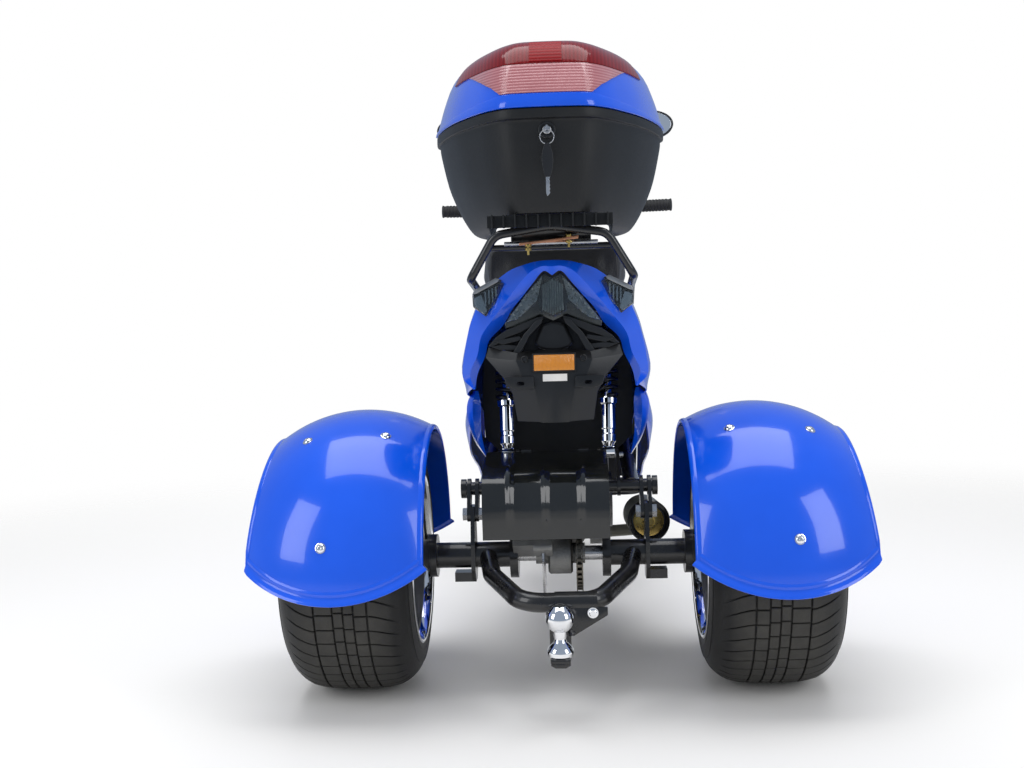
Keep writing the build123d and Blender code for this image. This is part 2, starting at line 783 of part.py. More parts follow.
frame_tubes += [y_cylinder(x, z, -rail_y, rail_y, radius) for x, z, radius in frame_bars]
frame_tubes.append(y_cylinder(aft(pivot_dx), pivot_z, -arm_y - pivot_eye_r, arm_y + pivot_eye_r,
                              pivot_r - running_clearance))
frame_tubes.append(y_cylinder(shock_lower_x + shock_upper_dx - shock_lower_dx, shock_upper_z,
                              -shock_y - shock_eye_w / 2, shock_y + shock_eye_w / 2, shock_pin_r))
frame_links = []
knee_slope = (tail_rail_front_z - rise_knee_z) / (rise_knee_dx - tail_rail_front_dx)
pivot_top_dx = pivot_dx + pivot_plate_lean
pivot_top_z = rise_knee_z + (rise_knee_dx - pivot_top_dx) * knee_slope
for side in (1, -1):
    frame_links.append(link_plate(
        side * rail_y - shock_tab_t / 2, side * rail_y + shock_tab_t / 2,
        (aft(pivot_dx), pivot_z, pivot_r + rail_r), (aft(pivot_top_dx), pivot_top_z, rail_r),
    ))
    frame_links.append(link_plate(
        side * seat_ear_y - shock_tab_t / 2, side * seat_ear_y + shock_tab_t / 2,
        (aft(seat_hinge_dx), seat_hinge_z, seat_ear_r), (aft(seat_bar_dx), seat_bar_z, cross_bar_r),
    ))
for y_low in (shock_y - shock_eye_w / 2 - clearance - shock_tab_t, -shock_y + shock_eye_w / 2 + clearance):
    frame_links.append(link_plate(
        y_low, y_low + shock_tab_t,
        (aft(shock_upper_dx), shock_upper_z, shock_eye_r),
        (aft(shock_upper_dx), shock_bar_z, cross_bar_r),
    ))
head_bore = rod(on_steering(head_low - overrun), on_steering(head_high + overrun), head_bore_r)
seat_pin = y_cylinder(
    aft(seat_hinge_dx), seat_hinge_z, -seat_ear_y - shock_tab_t, seat_ear_y + shock_tab_t, seat_pin_r
)
save(less(fused(*frame_tubes, *frame_links, seat_pin), head_bore), "frame")

# Shocks: a chromed body, a rod, two eyes and a coil spring on each side
shock_body_r = 14.0
shock_body_share = 0.42
shock_rod_r = 6.0
shock_cap_r = 24.0
shock_cap_t = 10.0
spring_wire_r = 3.5
spring_r = 19.0
spring_turns = 8
shock_low = Vector(shock_lower_x, shock_y, shock_lower_z)
shock_high = Vector(aft(shock_upper_dx), shock_y, shock_upper_z)
shock_run = shock_high - shock_low
shock_axis = shock_run.normalized()
shock_body_end = shock_low + shock_run * shock_body_share
spring_end = shock_high - shock_axis * shock_eye_r
shock = fused(
    y_cylinder(shock_low.X, shock_low.Z, shock_y - shock_eye_w / 2, shock_y + shock_eye_w / 2, shock_eye_r),
    y_cylinder(shock_high.X, shock_high.Z, shock_y - shock_eye_w / 2, shock_y + shock_eye_w / 2, shock_eye_r),
    rod(shock_low, shock_body_end, shock_body_r),
    rod(shock_low, shock_high, shock_rod_r),
    rod(shock_body_end, shock_body_end + shock_axis * shock_cap_t, shock_cap_r),
    rod(spring_end - shock_axis * shock_cap_t, spring_end, shock_cap_r),
)
shock = less(
    shock,
    y_cylinder(shock_low.X, shock_low.Z, 0, 2 * shock_y, shock_pin_r + running_clearance),
    y_cylinder(shock_high.X, shock_high.Z, 0, 2 * shock_y, shock_pin_r + running_clearance),
)
save(fused(shock, mirrored(shock)), "shocks")
spring_low = shock_body_end + shock_axis * (shock_cap_t + spring_wire_r)
spring_high = spring_end - shock_axis * (shock_cap_t + spring_wire_r)
spring_l = (spring_high - spring_low).length
with BuildPart() as spring:
    with BuildLine() as coil:
        Helix(spring_l / spring_turns, spring_l, spring_r, center=spring_low, direction=shock_axis)
    with BuildSketch(Plane(coil.line @ 0, z_dir=coil.line % 0)):
        RegularPolygon(spring_wire_r, 6)
    sweep(path=coil.line, is_frenet=True)
save(fused(spring.part, mirrored(spring.part)), "shock_springs")
shock_pin = y_cylinder(shock_low.X, shock_low.Z, shock_y - shock_eye_w, shock_y + shock_eye_w, shock_pin_r)
save(fused(bolt.part, mirrored(bolt.part), shock_pin, mirrored(shock_pin)), "carriage_bolts")

# Rear fenders: a crowned arc turned about the axle, its outer side and both ends trimmed
fender_t = 4.0
fender_in_y = 243.0
fender_crown_y = 378.0
fender_crown_r = 292.0
fender_arc_r = 267.0
fender_shoulder_y = 545.0
fender_shoulder_z = 488.0
fender_tip_y = 572.5
fender_tip_z = 285.0
fender_end_y = 398.0
fender_end_z = 233.0
fender_turn = 208.0


def crown_r(y, drop=0.0):
    """The fender's distance from the axle at a place across it."""
    return fender_crown_r - fender_arc_r + sqrt((fender_arc_r - drop) ** 2 - (y - fender_crown_y) ** 2)


with BuildPart() as fender:
    with BuildSketch(Plane(origin=(rear_axle_x, 0, rear_axle_z), x_dir=(0, 1, 0), z_dir=(1, 0, 0))):
        with BuildLine():
            tip_y = fender_tip_y + fender_t
            ThreePointArc(
                (fender_in_y, crown_r(fender_in_y)), (fender_crown_y, crown_r(fender_crown_y)), (tip_y, crown_r(tip_y))
            )
            Line((tip_y, crown_r(tip_y)), (tip_y, crown_r(tip_y, fender_t)))
            ThreePointArc(
                (tip_y, crown_r(tip_y, fender_t)), (fender_crown_y, crown_r(fender_crown_y, fender_t)),
                (fender_in_y, crown_r(fender_in_y, fender_t)),
            )
            Line((fender_in_y, crown_r(fender_in_y, fender_t)), (fender_in_y, crown_r(fender_in_y)))
        make_face()
    axle_line = Axis((rear_axle_x, 0, rear_axle_z), (0, 1, 0))
    revolve(axis=axle_line, revolution_arc=fender_turn)
turned = fender.part.rotate(axle_line, -fender_turn / 2)
side_slope = (fender_tip_y - fender_shoulder_y) / (fender_shoulder_z - fender_tip_z)
high_z = rear_axle_z + fender_crown_r + fender_arc_r
far_y = fender_tip_y + fender_arc_r
side_cut = cross_slab(
    [(fender_tip_y + side_slope * fender_tip_z, 0), (far_y, 0), (far_y, high_z),
     (fender_shoulder_y - side_slope * (high_z - fender_shoulder_z), high_z)],
    aft(-fender_crown_r - overrun), aft(fender_crown_r + overrun),
)
with BuildPart() as end_cut:
    with BuildSketch(cross_plane(aft(-fender_crown_r - overrun))):
        with BuildLine():
            ThreePointArc((fender_in_y, fender_tip_z), (fender_end_y, fender_end_z), (fender_tip_y, fender_tip_z))
            Polyline(
                (fender_tip_y, fender_tip_z), (far_y, fender_tip_z), (far_y, 0), (0, 0), (0, fender_tip_z),
                (fender_in_y, fender_tip_z),
            )
        make_face()
    extrude(amount=2 * fender_crown_r + 2 * overrun)
rear_fender = less(turned, side_cut, end_cut.part)


# Fender stays: two arms from the axle's hub flange, each with a cross bar under the crown
stay_t = 5.0
stay_w = 32.0
stay_foot_r = 222.0
stay_elbow_r = 243.0
stay_elbow_l = 28.0
stay_bar_r = 261.0
stay_bar_out_y = 478.0
stay_angles = (28.0, 76.0)
fender_bolt_r = 5.0
fender_bolt_head_r = 10.0
fender_bolt_head_t = 4.0
fender_bolt_ys = ((318.0, 466.0), (418.0, ))
stay_in_y = axle_tube_outer_y
stays, bolts, bolt_holes = [], [], []
for angle, bolt_ys in zip(stay_angles, fender_bolt_ys):
    turn = radians(angle)
    out = Vector(-sin(turn), 0, cos(turn))
    along = Plane(
        origin=(rear_axle_x, stay_in_y, rear_axle_z), x_dir=(0, 1, 0), z_dir=(cos(turn), 0, sin(turn))
    )
    route = [(0, stay_foot_r), (0, stay_elbow_r), (stay_elbow_l, stay_bar_r), (stay_bar_out_y - stay_in_y, stay_bar_r)]
    with BuildPart() as arm:
        add(link_plate(
            stay_in_y, stay_in_y + stay_t, (rear_axle_x, rear_axle_z, stay_w),
            (rear_axle_x + out.X * stay_foot_r, rear_axle_z + out.Z * stay_foot_r, stay_w / 2),
        ))
        with BuildSketch(along):
            Polygon(*strip(route, stay_t), align=None)
        extrude(amount=stay_w / 2, both=True)
    stays.append(arm.part)
    for bolt_y in bolt_ys:
        seat = Vector(rear_axle_x, bolt_y, rear_axle_z) + out * (stay_bar_r + stay_t)
        slope = abs(bolt_y - fender_crown_y) / fender_arc_r
        top_r = crown_r(bolt_y) + fender_bolt_head_r * slope + clearance
        top = Vector(rear_axle_x, bolt_y, rear_axle_z) + out * top_r
        bolts.append(rod(seat, top, fender_bolt_r))
        bolts.append(rod(top, top + out * fender_bolt_head_t, fender_bolt_head_r))
        bolt_holes.append(rod(seat, top + out * fender_bolt_head_t, fender_bolt_r + running_clearance))
stay_bore = y_cylinder(rear_axle_x, rear_axle_z, 0, stay_bar_out_y, axle_tube_r)
stay_left = less(fused(*stays), stay_bore)
save(stay_left, "fender_stay_left")
save(mirrored(stay_left), "fender_stay_right")
fender_bolts = fused(*bolts)
save(fused(fender_bolts, mirrored(fender_bolts)), "fender_bolts")
rear_fender = less(rear_fender, *bolt_holes)
save(rear_fender, "rear_fender_left")
save(mirrored(rear_fender), "rear_fender_right")

# Engine: crankcase block, finned cylinder lying forward, round side cover, output shaft
case_l = 230.0
case_h = 170.0
case_half_w = 88.0
case_dx = 270.0
case_z = 218.0
case_fillet = 22.0
pinion_x_gap = 24.0
cylinder_r = 52.0
cylinder_l = 150.0
cylinder_y = 0.0
fin_count = 7
fin_t = 5.0
fin_grow = 9.0
cylinder_rise = 10.0
cover_r = 62.0
cover_t = 26.0
cover_ring_r = 47.0
output_r = 12.0
case_front = aft(case_dx + case_l)
case_mid_z = case_z + case_h / 2
with BuildPart() as engine:
    with BuildSketch(side_plane(-case_half_w)):
        with Locations((-aft(case_dx + case_l / 2), case_mid_z)):
            RectangleRounded(case_l, case_h, case_fillet)
    extrude(amount=2 * case_half_w)
    head_plane = Plane(
        origin=(case_front - case_fillet, cylinder_y, case_mid_z), x_dir=(0, 1, 0),
        z_dir=(cos(radians(cylinder_rise)), 0, sin(radians(cylinder_rise))),
    )
    with BuildSketch(head_plane):
        Circle(cylinder_r)
    extrude(amount=cylinder_l)
    for fin in range(fin_count):
        with BuildSketch(head_plane.offset(cylinder_l - (fin + 1) * 3 * fin_t)):
            RectangleRounded(2 * (cylinder_r + fin_grow), 2 * (cylinder_r + fin_grow), fin_grow)
        extrude(amount=fin_t)
    for y_low in (case_half_w, -case_half_w - cover_t):
        add(y_cylinder(aft(case_dx + case_l / 2), case_mid_z, y_low, y_low + cover_t, cover_r))
engine_pocket = side_slab(
    [(aft(case_dx - case_l), case_z - case_h), (pinion_x + 2 * pinion_r, case_z - case_h),
     (pinion_x + 2 * pinion_r, case_z + 2 * case_h), (aft(case_dx - case_l), case_z + 2 * case_h)],
    sprocket_y - chain_w - pinion_x_gap / 2, sprocket_y + chain_w + pinion_x_gap / 2,
)
pinion = toothed_wheel(pinion_x, pinion_z, sprocket_y, pinion_r, pinion_teeth, output_r)
output = y_cylinder(
    pinion_x, pinion_z, sprocket_y - chain_w - pinion_x_gap / 2, sprocket_y + chain_w + pinion_x_gap / 2, output_r
)
save(fused(less(engine.part, engine_pocket), output, pinion), "engine")

# Tail lamp, turn signals and plate carrier: outlines seen from the rear, as (y, z)
lamp_half_w = 96.0
lamp_top_z = 801.0
lamp_h = 103.0
lamp_rear_dx = -156.0
lamp_t = 30.0
lamp_shares = ((0.0, -0.05), (0.15, 0.0), (1.0, -1.0), (0.28, -0.43), (0.25, -0.71), (0.0, -0.84),
               (-0.25, -0.71), (-0.28, -0.43), (-1.0, -1.0), (-0.15, 0.0))
tail_lamp = cross_slab(
    [(y * lamp_half_w, lamp_top_z + z * lamp_h) for y, z in lamp_shares],
    aft(lamp_rear_dx), aft(lamp_rear_dx) + lamp_t,
)
signal_y = 84.0
signal_w = 70.0
signal_low_z = 720.0
signal_h = 69.0
signal_rear_dx = -150.0
signal_l = 62.0
signal_shares = ((0.0, 0.91), (0.31, 1.0), (1.0, 0.62), (1.0, 0.33), (0.87, 0.13), (0.53, 0.0))
turn_signal = cross_slab(
    [(signal_y + y * signal_w, signal_low_z + z * signal_h) for y, z in signal_shares],
    aft(signal_rear_dx), aft(signal_rear_dx) + signal_l,
)
signal_sweep = 26.0
turn_signal = less(turn_signal, cross_slab(
    [(signal_y + signal_w * signal_shares[1][0], 0), (signal_y + 2 * signal_w, 0),
     (signal_y + 2 * signal_w, 2 * signal_low_z), (signal_y + signal_w * signal_shares[1][0], 2 * signal_low_z)],
    aft(signal_rear_dx), aft(signal_rear_dx) + signal_sweep / 2,
))
save(tail_lamp, "tail_light")
save(fused(turn_signal, mirrored(turn_signal)), "turn_signals")

# Plate carrier: a hollow moulding that widens at its shoulders, open towards the front
carrier_half_w = 126.0
carrier_low_z = 519.0
carrier_h = 199.0
carrier_rear_dx = -188.0
carrier_l = 74.0
carrier_t = 4.0
carrier_rear_share = 0.72
carrier_shares = ((0.20, 1.0), (0.76, 0.87), (1.0, 0.70), (1.0, 0.62), (0.80, 0.43), (0.55, 0.0))


def carrier_outline(width_share, grow):
    half = [(y * width_share * carrier_half_w + grow, carrier_low_z + z * carrier_h) for y, z in carrier_shares]
    half[0] = (half[0][0], half[0][1] + grow)
    half[-1] = (half[-1][0], half[-1][1] - grow)
    return half + [(-y, z) for y, z in half[::-1]]


def carrier_body(grow, x_rear, x_front):
    with BuildPart() as body:
        for x, width_share in ((x_rear, carrier_rear_share), (x_front, 1.0)):
            with BuildSketch(cross_plane(x)):
                Polygon(*carrier_outline(width_share, grow), align=None)
        loft(ruled=True)
    return body.part


plate_carrier = less(
    carrier_body(0, aft(carrier_rear_dx), aft(carrier_rear_dx) + carrier_l),
    carrier_body(-carrier_t, aft(carrier_rear_dx) + carrier_t, aft(carrier_rear_dx) + carrier_l + carrier_t),
    tail_lamp, turn_signal, mirrored(turn_signal),
)
slot_w = 14.0
slot_h = 7.0
slot_y = 61.0
slot_z = 601.0
tab_w = 34.0
tab_h = 24.0
tab_t = 8.0
carrier_slots = []
carrier_tabs = []
for side in (1, -1):
    carrier_tabs.append(cross_slab(
        [(side * slot_y - tab_w / 2, slot_z - tab_h / 2), (side * slot_y + tab_w / 2, slot_z - tab_h / 2),
         (side * slot_y + tab_w / 2, slot_z + tab_h / 2), (side * slot_y - tab_w / 2, slot_z + tab_h / 2)],
        aft(carrier_rear_dx) - tab_t, aft(carrier_rear_dx) + carrier_t,
    ))
    slot_start = aft(carrier_rear_dx) - tab_t - overrun
    slot_end = aft(carrier_rear_dx) + carrier_t + overrun
    with BuildPart() as carrier_slot:
        with BuildSketch(cross_plane(slot_start, side * slot_y, slot_z)):
            SlotOverall(slot_w, slot_h)
        extrude(amount=slot_end - slot_start)
    carrier_slots.append(carrier_slot.part)
plate_carrier = less(fused(plate_carrier, *carrier_tabs), *carrier_slots)
save(plate_carrier, "plate_carrier")
reflector_w = 72.0
reflector_h = 28.0
reflector_z = 638.0
reflector_t = 6.0
save(
    cross_slab(
        [(-reflector_w / 2, reflector_z - reflector_h / 2), (reflector_w / 2, reflector_z - reflector_h / 2),
         (reflector_w / 2, reflector_z + reflector_h / 2), (-reflector_w / 2, reflector_z + reflector_h / 2)],
        aft(carrier_rear_dx) - reflector_t, aft(carrier_rear_dx),
    ),
    "reflector",
)

# Rear rack: a bent rail from the tail up round the rear, a cross bar, and the plate that carries the case
rack_r = 10.0
rack_foot = (58.0, 171.0, 748.0)
rack_knee = (46.0, 175.0, 786.0)
rack_corner = (-195.0, 132.0, 858.0)
rack_peak = (-204.0, 0.0, 871.0)
rack_bend_r = 16.0
rack_bar_r = 6.0
rack_bar_share = 0.86
mount_t = 8.0
mount_half_w = 72.0
mount_front_dx = 30.0
case_floor_z = 873.0
case_channel_h = 20.0
rack_route = [rack_foot, rack_knee, rack_corner, rack_peak]
rack_path = [(aft(dx), y, z) for dx, y, z in rack_route]
rack_path += [(x, -y, z) for x, y, z in rack_path[-2::-1]]
rack_rail = bent_tube(rack_path, rack_bend_r, rack_r)
bar_x = aft(rack_knee[0] + rack_bar_share * (rack_corner[0] - rack_knee[0]))
bar_y = rack_knee[1] + rack_bar_share * (rack_corner[1] - rack_knee[1])
bar_z = rack_knee[2] + rack_bar_share * (rack_corner[2] - rack_knee[2])
foot_bar = rod(
    (aft(rack_foot[0]), rack_foot[1], rack_foot[2] + rack_r), (aft(rack_foot[0]), rail_y, rack_foot[2] - rack_r), rack_r,
)
mount_plate = side_slab(
    [(aft(rack_corner[0]), case_floor_z + case_channel_h), (aft(mount_front_dx), case_floor_z + case_channel_h),
     (aft(mount_front_dx), case_floor_z + case_channel_h - mount_t),
     (bar_x + mount_t, case_floor_z + case_channel_h - mount_t), (bar_x + mount_t, bar_z), (bar_x, bar_z),
     (aft(rack_corner[0]), case_floor_z + case_channel_h - mount_t)],
    -mount_half_w, mount_half_w,
)
rack = less(
    fused(rack_rail, y_cylinder(bar_x, bar_z, -bar_y, bar_y, rack_bar_r), foot_bar, mirrored(foot_bar), mount_plate),
    rail, mirrored(rail),
)
save(rack, "rear_rack")


# Body panels: shares are of the half width and of the rise over the sill
body_half_w = 186.0
body_low_z = 300.0
body_h = 519.0
panel_t = 4.0
tail_rear_dx = -148.0
body_l = 700.0


def body_station(length_share, width_shares, height_shares):
    """A station of the side panel: x, then points from its top edge down to its sill."""
    x = aft(tail_rear_dx + length_share * body_l)
    points = [(w * body_half_w, body_low_z + h * body_h) for w, h in zip(width_shares, height_shares)]
    return x, points


# Columns: share along the body, half widths from the top edge down, heights of the same points
tail_shares = (
    (0.00, (0.05, 0.50, 0.80, 0.84), (1.00, 0.94, 0.74, 0.66)),
    (0.11, (0.10, 0.62, 0.98, 0.92), (1.00, 0.92, 0.60, 0.53)),
    (0.35, (0.62, 0.76, 0.99, 0.96), (0.90, 0.86, 0.64, 0.50)),
    (0.70, (0.70, 0.82, 0.97, 0.97), (0.82, 0.78, 0.60, 0.44)),
    (1.20, (0.52, 0.74, 0.86, 0.90), (0.78, 0.74, 0.50, 0.20)),
    (1.30, (0.50, 0.70, 0.80, 0.84), (0.77, 0.73, 0.48, 0.06)),
)
# Columns of the rear cover: height share, then the length and half width shares of its inner, middle and outer points
cover_shares = (
    (0.975, (-0.012, 0.00), (-0.016, 0.16), (0.02, 0.36)),
    (0.867, (-0.012, 0.27), (-0.020, 0.44), (0.01, 0.61)),
    (0.767, (-0.012, 0.49), (-0.016, 0.64), (0.01, 0.755)),
    (0.657, (0.020, 0.61), (0.006, 0.78), (0.06, 0.93)),
    (0.550, (0.085, 0.77), (0.070, 0.86), (0.11, 0.965)),
)


def tail_cover():
    """The blue cover between the lamp and the side of the tail, through level sections."""
    stations = []
    for height_share, *points in cover_shares:
        z = body_low_z + height_share * body_h
        stations.append((z, [
            (aft(tail_rear_dx + length * body_l), width * body_half_w) for length, width in points
        ]))
    return wrap_loft(stations, panel_t)


boss_r = 8.0
boss_reach = 40.0
boss_dx = 400.0
boss_z = 540.0
boss = y_cylinder(aft(boss_dx), boss_z, body_half_w - boss_reach, body_half_w + boss_reach, boss_r)
tail_boxes = shell_loft([body_station(*row) for row in tail_shares], -panel_t)
tail = less(fused(tail_boxes, tail_cover()), tail_lamp, turn_signal, plate_carrier, rack, boss)
save(fused(tail, mirrored(tail)).solids().sort_by(SortBy.VOLUME)[-1], "tail_fairing")
skirt_shares = (
    (0.55, (1.06, 1.09, 1.04), (0.44, 0.36, 0.26)),
    (0.83, (1.04, 1.10, 1.02), (0.48, 0.36, 0.16)),
    (1.12, (1.00, 1.06, 1.02), (0.44, 0.30, 0.02)),
)
skirt = shell_loft([body_station(*row) for row in skirt_shares], -panel_t)
skirt_far = side_slab(
    [(aft(boss_dx - boss_reach), boss_z - boss_reach), (aft(boss_dx + boss_reach), boss_z - boss_reach),
     (aft(boss_dx + boss_reach), boss_z + boss_reach), (aft(boss_dx - boss_reach), boss_z + boss_reach)],
    skirt_shares[1][1][0] * body_half_w, body_half_w + 2 * boss_reach,
)
skirt = fused(skirt, less(boss, skirt_far))
save(fused(skirt, mirrored(skirt)), "side_skirts")

# Seat: base plate hinged at its front, and a cushion on it
seat_half_w = 148.0
seat_rear_z = 778.0
seat_front_z = 706.0
seat_base_t = 8.0
seat_corner_r = 30.0
# Columns: share along the seat from its rear, half width share, height over the base, corner share
seat_rise = 84.0
seat_shares = (
    (0.00, 0.90, 0.86, 0.9), (0.06, 0.98, 1.00, 1.0), (0.42, 1.00, 0.92, 1.0),
    (0.55, 0.98, 0.62, 1.0), (0.85, 0.78, 0.70, 1.0), (1.00, 0.55, 0.50, 0.8),
)


def seat_station(length_share):
    """The x of a place along the seat and the height of the base's top there."""
    x = aft(seat_rear_dx + length_share * seat_l)
    return x, seat_rear_z + length_share * (seat_front_z - seat_rear_z)


with BuildPart() as seat_cushion:
    for length_share, width_share, rise_share, corner_share in seat_shares:
        x, low_z = seat_station(length_share)
        low_z += seat_base_t
        rise = rise_share * seat_rise
        with BuildSketch(cross_plane(x, z=low_z + rise / 2)):
            RectangleRounded(2 * width_share * seat_half_w, rise, corner_share * seat_corner_r * rise_share / 2)
    loft(ruled=True)
with BuildPart() as seat_base:
    for length_share, width_share, rise_share, corner_share in (seat_shares[0], seat_shares[3], seat_shares[-1]):
        x, low_z = seat_station(length_share)
        with BuildSketch(cross_plane(x, z=low_z + seat_base_t / 2)):
            Rectangle(2 * width_share * (seat_half_w - seat_base_t), seat_base_t)
    loft(ruled=True)
seat_lug_half_w = 26.0
seat_lug = less(
    link_plate(
        -seat_lug_half_w, seat_lug_half_w,
        (aft(seat_hinge_dx), seat_hinge_z, seat_ear_r),
        (aft(seat_hinge_dx), seat_front_z + seat_base_t / 2, seat_base_t / 2),
    ),
    y_cylinder(aft(seat_hinge_dx), seat_hinge_z, -seat_ear_y, seat_ear_y, seat_pin_r + running_clearance),
)
save(seat_cushion.part, "seat_cushion")
save(less(fused(seat_base.part, seat_lug), seat_cushion.part), "seat_base")
bucket_half_w = 82.0
bucket_rear_dx = 330.0
bucket_l = 290.0
bucket_low_z = 545.0
bucket_top_z = 680.0
bucket_t = 3.0
with BuildPart() as seat_bucket:
    with BuildSketch(Plane(origin=(aft(bucket_rear_dx + bucket_l / 2), 0, bucket_low_z))):
        RectangleRounded(bucket_l, 2 * bucket_half_w, seat_corner_r)
    extrude(amount=bucket_top_z - bucket_low_z)
    with BuildSketch(Plane(origin=(aft(bucket_rear_dx + bucket_l / 2), 0, bucket_low_z + bucket_t))):
        RectangleRounded(bucket_l - 2 * bucket_t, 2 * bucket_half_w - 2 * bucket_t, seat_corner_r - bucket_t)
    extrude(amount=bucket_top_z - bucket_low_z, mode=Mode.SUBTRACT)
lug_shares = (0.15, 0.85)
bucket_lugs = []
for lug_share in lug_shares:
    lug_dx = bucket_rear_dx + lug_share * bucket_l
    lug_z = rise_knee_z + (rise_knee_dx - lug_dx) * knee_slope
    bucket_lugs.append(y_cylinder(aft(lug_dx), lug_z, bucket_half_w - bucket_t, rail_y, rail_r / 2))
bucket_lugs += [mirrored(bucket_lug) for bucket_lug in bucket_lugs]
save(less(fused(seat_bucket.part, *bucket_lugs), rail, mirrored(rail)), "seat_bucket")

# Top case: a tapered bottom with a channel underneath, a domed lid and a wrapped rear lens
case_rear_dx = -332.0
case_l_top = 412.0
case_w_top = 438.0
case_seam_z = 1070.0
case_top_z = 1208.0
case_wall = 4.0
case_rear_corner_r = 128.0
case_front_corner_r = 62.0
case_bow_share = 0.07
case_lean_share = 0.2
case_channel_half_w = 112.0
case_front_dx = case_rear_dx + case_l_top
# Columns: height share from floor to seam, length share, width share
bottom_shares = (
    (0.00, 0.74, 0.68), (0.05, 0.80, 0.76), (0.30, 0.88, 0.86), (0.90, 0.97, 0.96), (0.93, 1.00, 1.00),
    (1.00, 1.00, 1.00),
)
# Columns: height share from seam to top, length share, width share
lid_shares = (
    (0.00, 1.00, 1.00), (0.12, 0.995, 0.99), (0.42, 0.94, 0.92), (0.68, 0.85, 0.82), (0.86, 0.70, 0.66),
    (0.96, 0.50, 0.46), (1.00, 0.30, 0.26),
)
case_mid_x = aft(case_front_dx - case_l_top / 2)


def case_loft(rows, low_z, high_z, shrink):
    """A stack of outlines with a bowed rear; the front face stays more upright than the rear one."""
    with BuildPart() as stack:
        for height_share, length_share, width_share in rows:
            half_l = length_share * case_l_top / 2 - shrink
            half_w = width_share * case_w_top / 2 - shrink
            bow = case_bow_share * length_share * case_l_top
            lean = case_lean_share * (1 - length_share) * case_l_top
            z = low_z + height_share * (high_z - low_z)
            with BuildSketch(Plane(origin=(case_mid_x + lean, 0, z))):
                with BuildLine():
                    ThreePointArc((bow - half_l, -half_w), (-half_l, 0), (bow - half_l, half_w))
                    Polyline((bow - half_l, half_w), (half_l, half_w), (half_l, -half_w), (bow - half_l, -half_w))
                make_face()
                corners = vertices().group_by(Axis.X)
                fillet(corners[0], length_share * case_rear_corner_r - shrink)
                fillet(corners[-1], length_share * case_front_corner_r - shrink)
        loft(ruled=True)
    return stack.part


case_channel = cross_slab(
    [(-case_channel_half_w, 0), (case_channel_half_w, 0), (case_channel_half_w, case_floor_z + case_channel_h),
     (-case_channel_half_w, case_floor_z + case_channel_h)],
    aft(case_rear_dx - case_wall), aft(case_front_dx + case_wall),
)
case_inside = less(
    case_loft(bottom_shares, case_floor_z, case_seam_z + case_wall, case_wall),
    cross_slab(
        [(-case_w_top, 0), (case_w_top, 0), (case_w_top, case_floor_z + case_channel_h + case_wall),
         (-case_w_top, case_floor_z + case_channel_h + case_wall)],
        aft(case_rear_dx - case_wall), aft(case_front_dx + case_wall),
    ),
)
case_bottom = less(
    case_loft(bottom_shares, case_floor_z, case_seam_z, 0), case_channel, case_inside, rack
)
lid_hinge_dx = 90.0
lid_hinge_z = 1066.0
knuckle_r = 6.0
knuckle_pin_r = 2.5
knuckle_y = 84.0
knuckle_w = 14.0
knuckle_foot = 12.0
knuckle_arm = 16.0
lid_hinge_x = aft(lid_hinge_dx)
knuckle_wall_x = aft(case_front_dx - case_wall / 2)
case_knuckle = fused(
    link_plate(knuckle_y, knuckle_y + knuckle_w, (lid_hinge_x, lid_hinge_z, knuckle_r),
               (knuckle_wall_x, lid_hinge_z - knuckle_foot, case_wall / 2)),
    y_cylinder(lid_hinge_x, lid_hinge_z, knuckle_y, knuckle_y + 2 * knuckle_w, knuckle_pin_r),
)
save(fused(case_bottom, case_knuckle, mirrored(case_knuckle)), "case_bottom")
lid_low_z = case_seam_z + clearance
lid_outer = case_loft(lid_shares, lid_low_z, case_top_z, 0)
lid_inner = case_loft(lid_shares, lid_low_z - case_wall, case_top_z - case_wall, case_wall)
lid_knuckle_y = knuckle_y + knuckle_w + clearance
lid_knuckle = less(
    link_plate(lid_knuckle_y, lid_knuckle_y + knuckle_w, (lid_hinge_x, lid_hinge_z, knuckle_r),
               (knuckle_wall_x, lid_hinge_z + knuckle_arm, case_wall / 2)),
    y_cylinder(lid_hinge_x, lid_hinge_z, knuckle_y, knuckle_y + 3 * knuckle_w, knuckle_pin_r + running_clearance),
)
save(fused(less(lid_outer, lid_inner), lid_knuckle, mirrored(lid_knuckle)), "case_lid")
lens_t = 3.0
lens_band_z = 1148.0
lens_tail_z = 1095.0
lens_tail_half_w = 82.0
lens_wide_half_w = 137.0
lens_front_share = 0.42
lens_tail_share = 0.2
lens_rear_x = aft(case_rear_dx - overrun)
lens_front_x = aft(case_rear_dx + lens_front_share * case_l_top)
lens_band = side_slab(
    [(lens_rear_x, lens_band_z), (lens_front_x, lens_band_z + case_wall),
     (lens_front_x, case_top_z + overrun), (lens_rear_x, case_top_z + overrun)],
    -case_w_top, case_w_top,
)
lens_tail = cross_slab(
    [(-lens_tail_half_w, lens_tail_z), (lens_tail_half_w, lens_tail_z),
     (lens_wide_half_w, lens_band_z + case_wall), (-lens_wide_half_w, lens_band_z + case_wall)],
    lens_rear_x, aft(case_rear_dx + lens_tail_share * case_l_top),
)
lens_region = fused(lens_band, lens_tail)
with BuildPart() as case_lens:
    add(case_loft(lid_shares, lid_low_z, case_top_z + lens_t, -lens_t))
    add(lens_region, mode=Mode.INTERSECT)
    add(lid_outer, mode=Mode.SUBTRACT)
save(case_lens.part, "case_lens")
lock_r = 14.0
lock_t = 8.0
lock_z = 1034.0
lock_x = aft(case_rear_dx)
key_w = 22.0
key_t = 6.0
key_l = 62.0
key_drop = 30.0
lock = less(rod((lock_x + lock_r, 0, lock_z), (lock_x - lock_t, 0, lock_z), lock_r),
            case_loft(bottom_shares, case_floor_z, case_seam_z, 0))
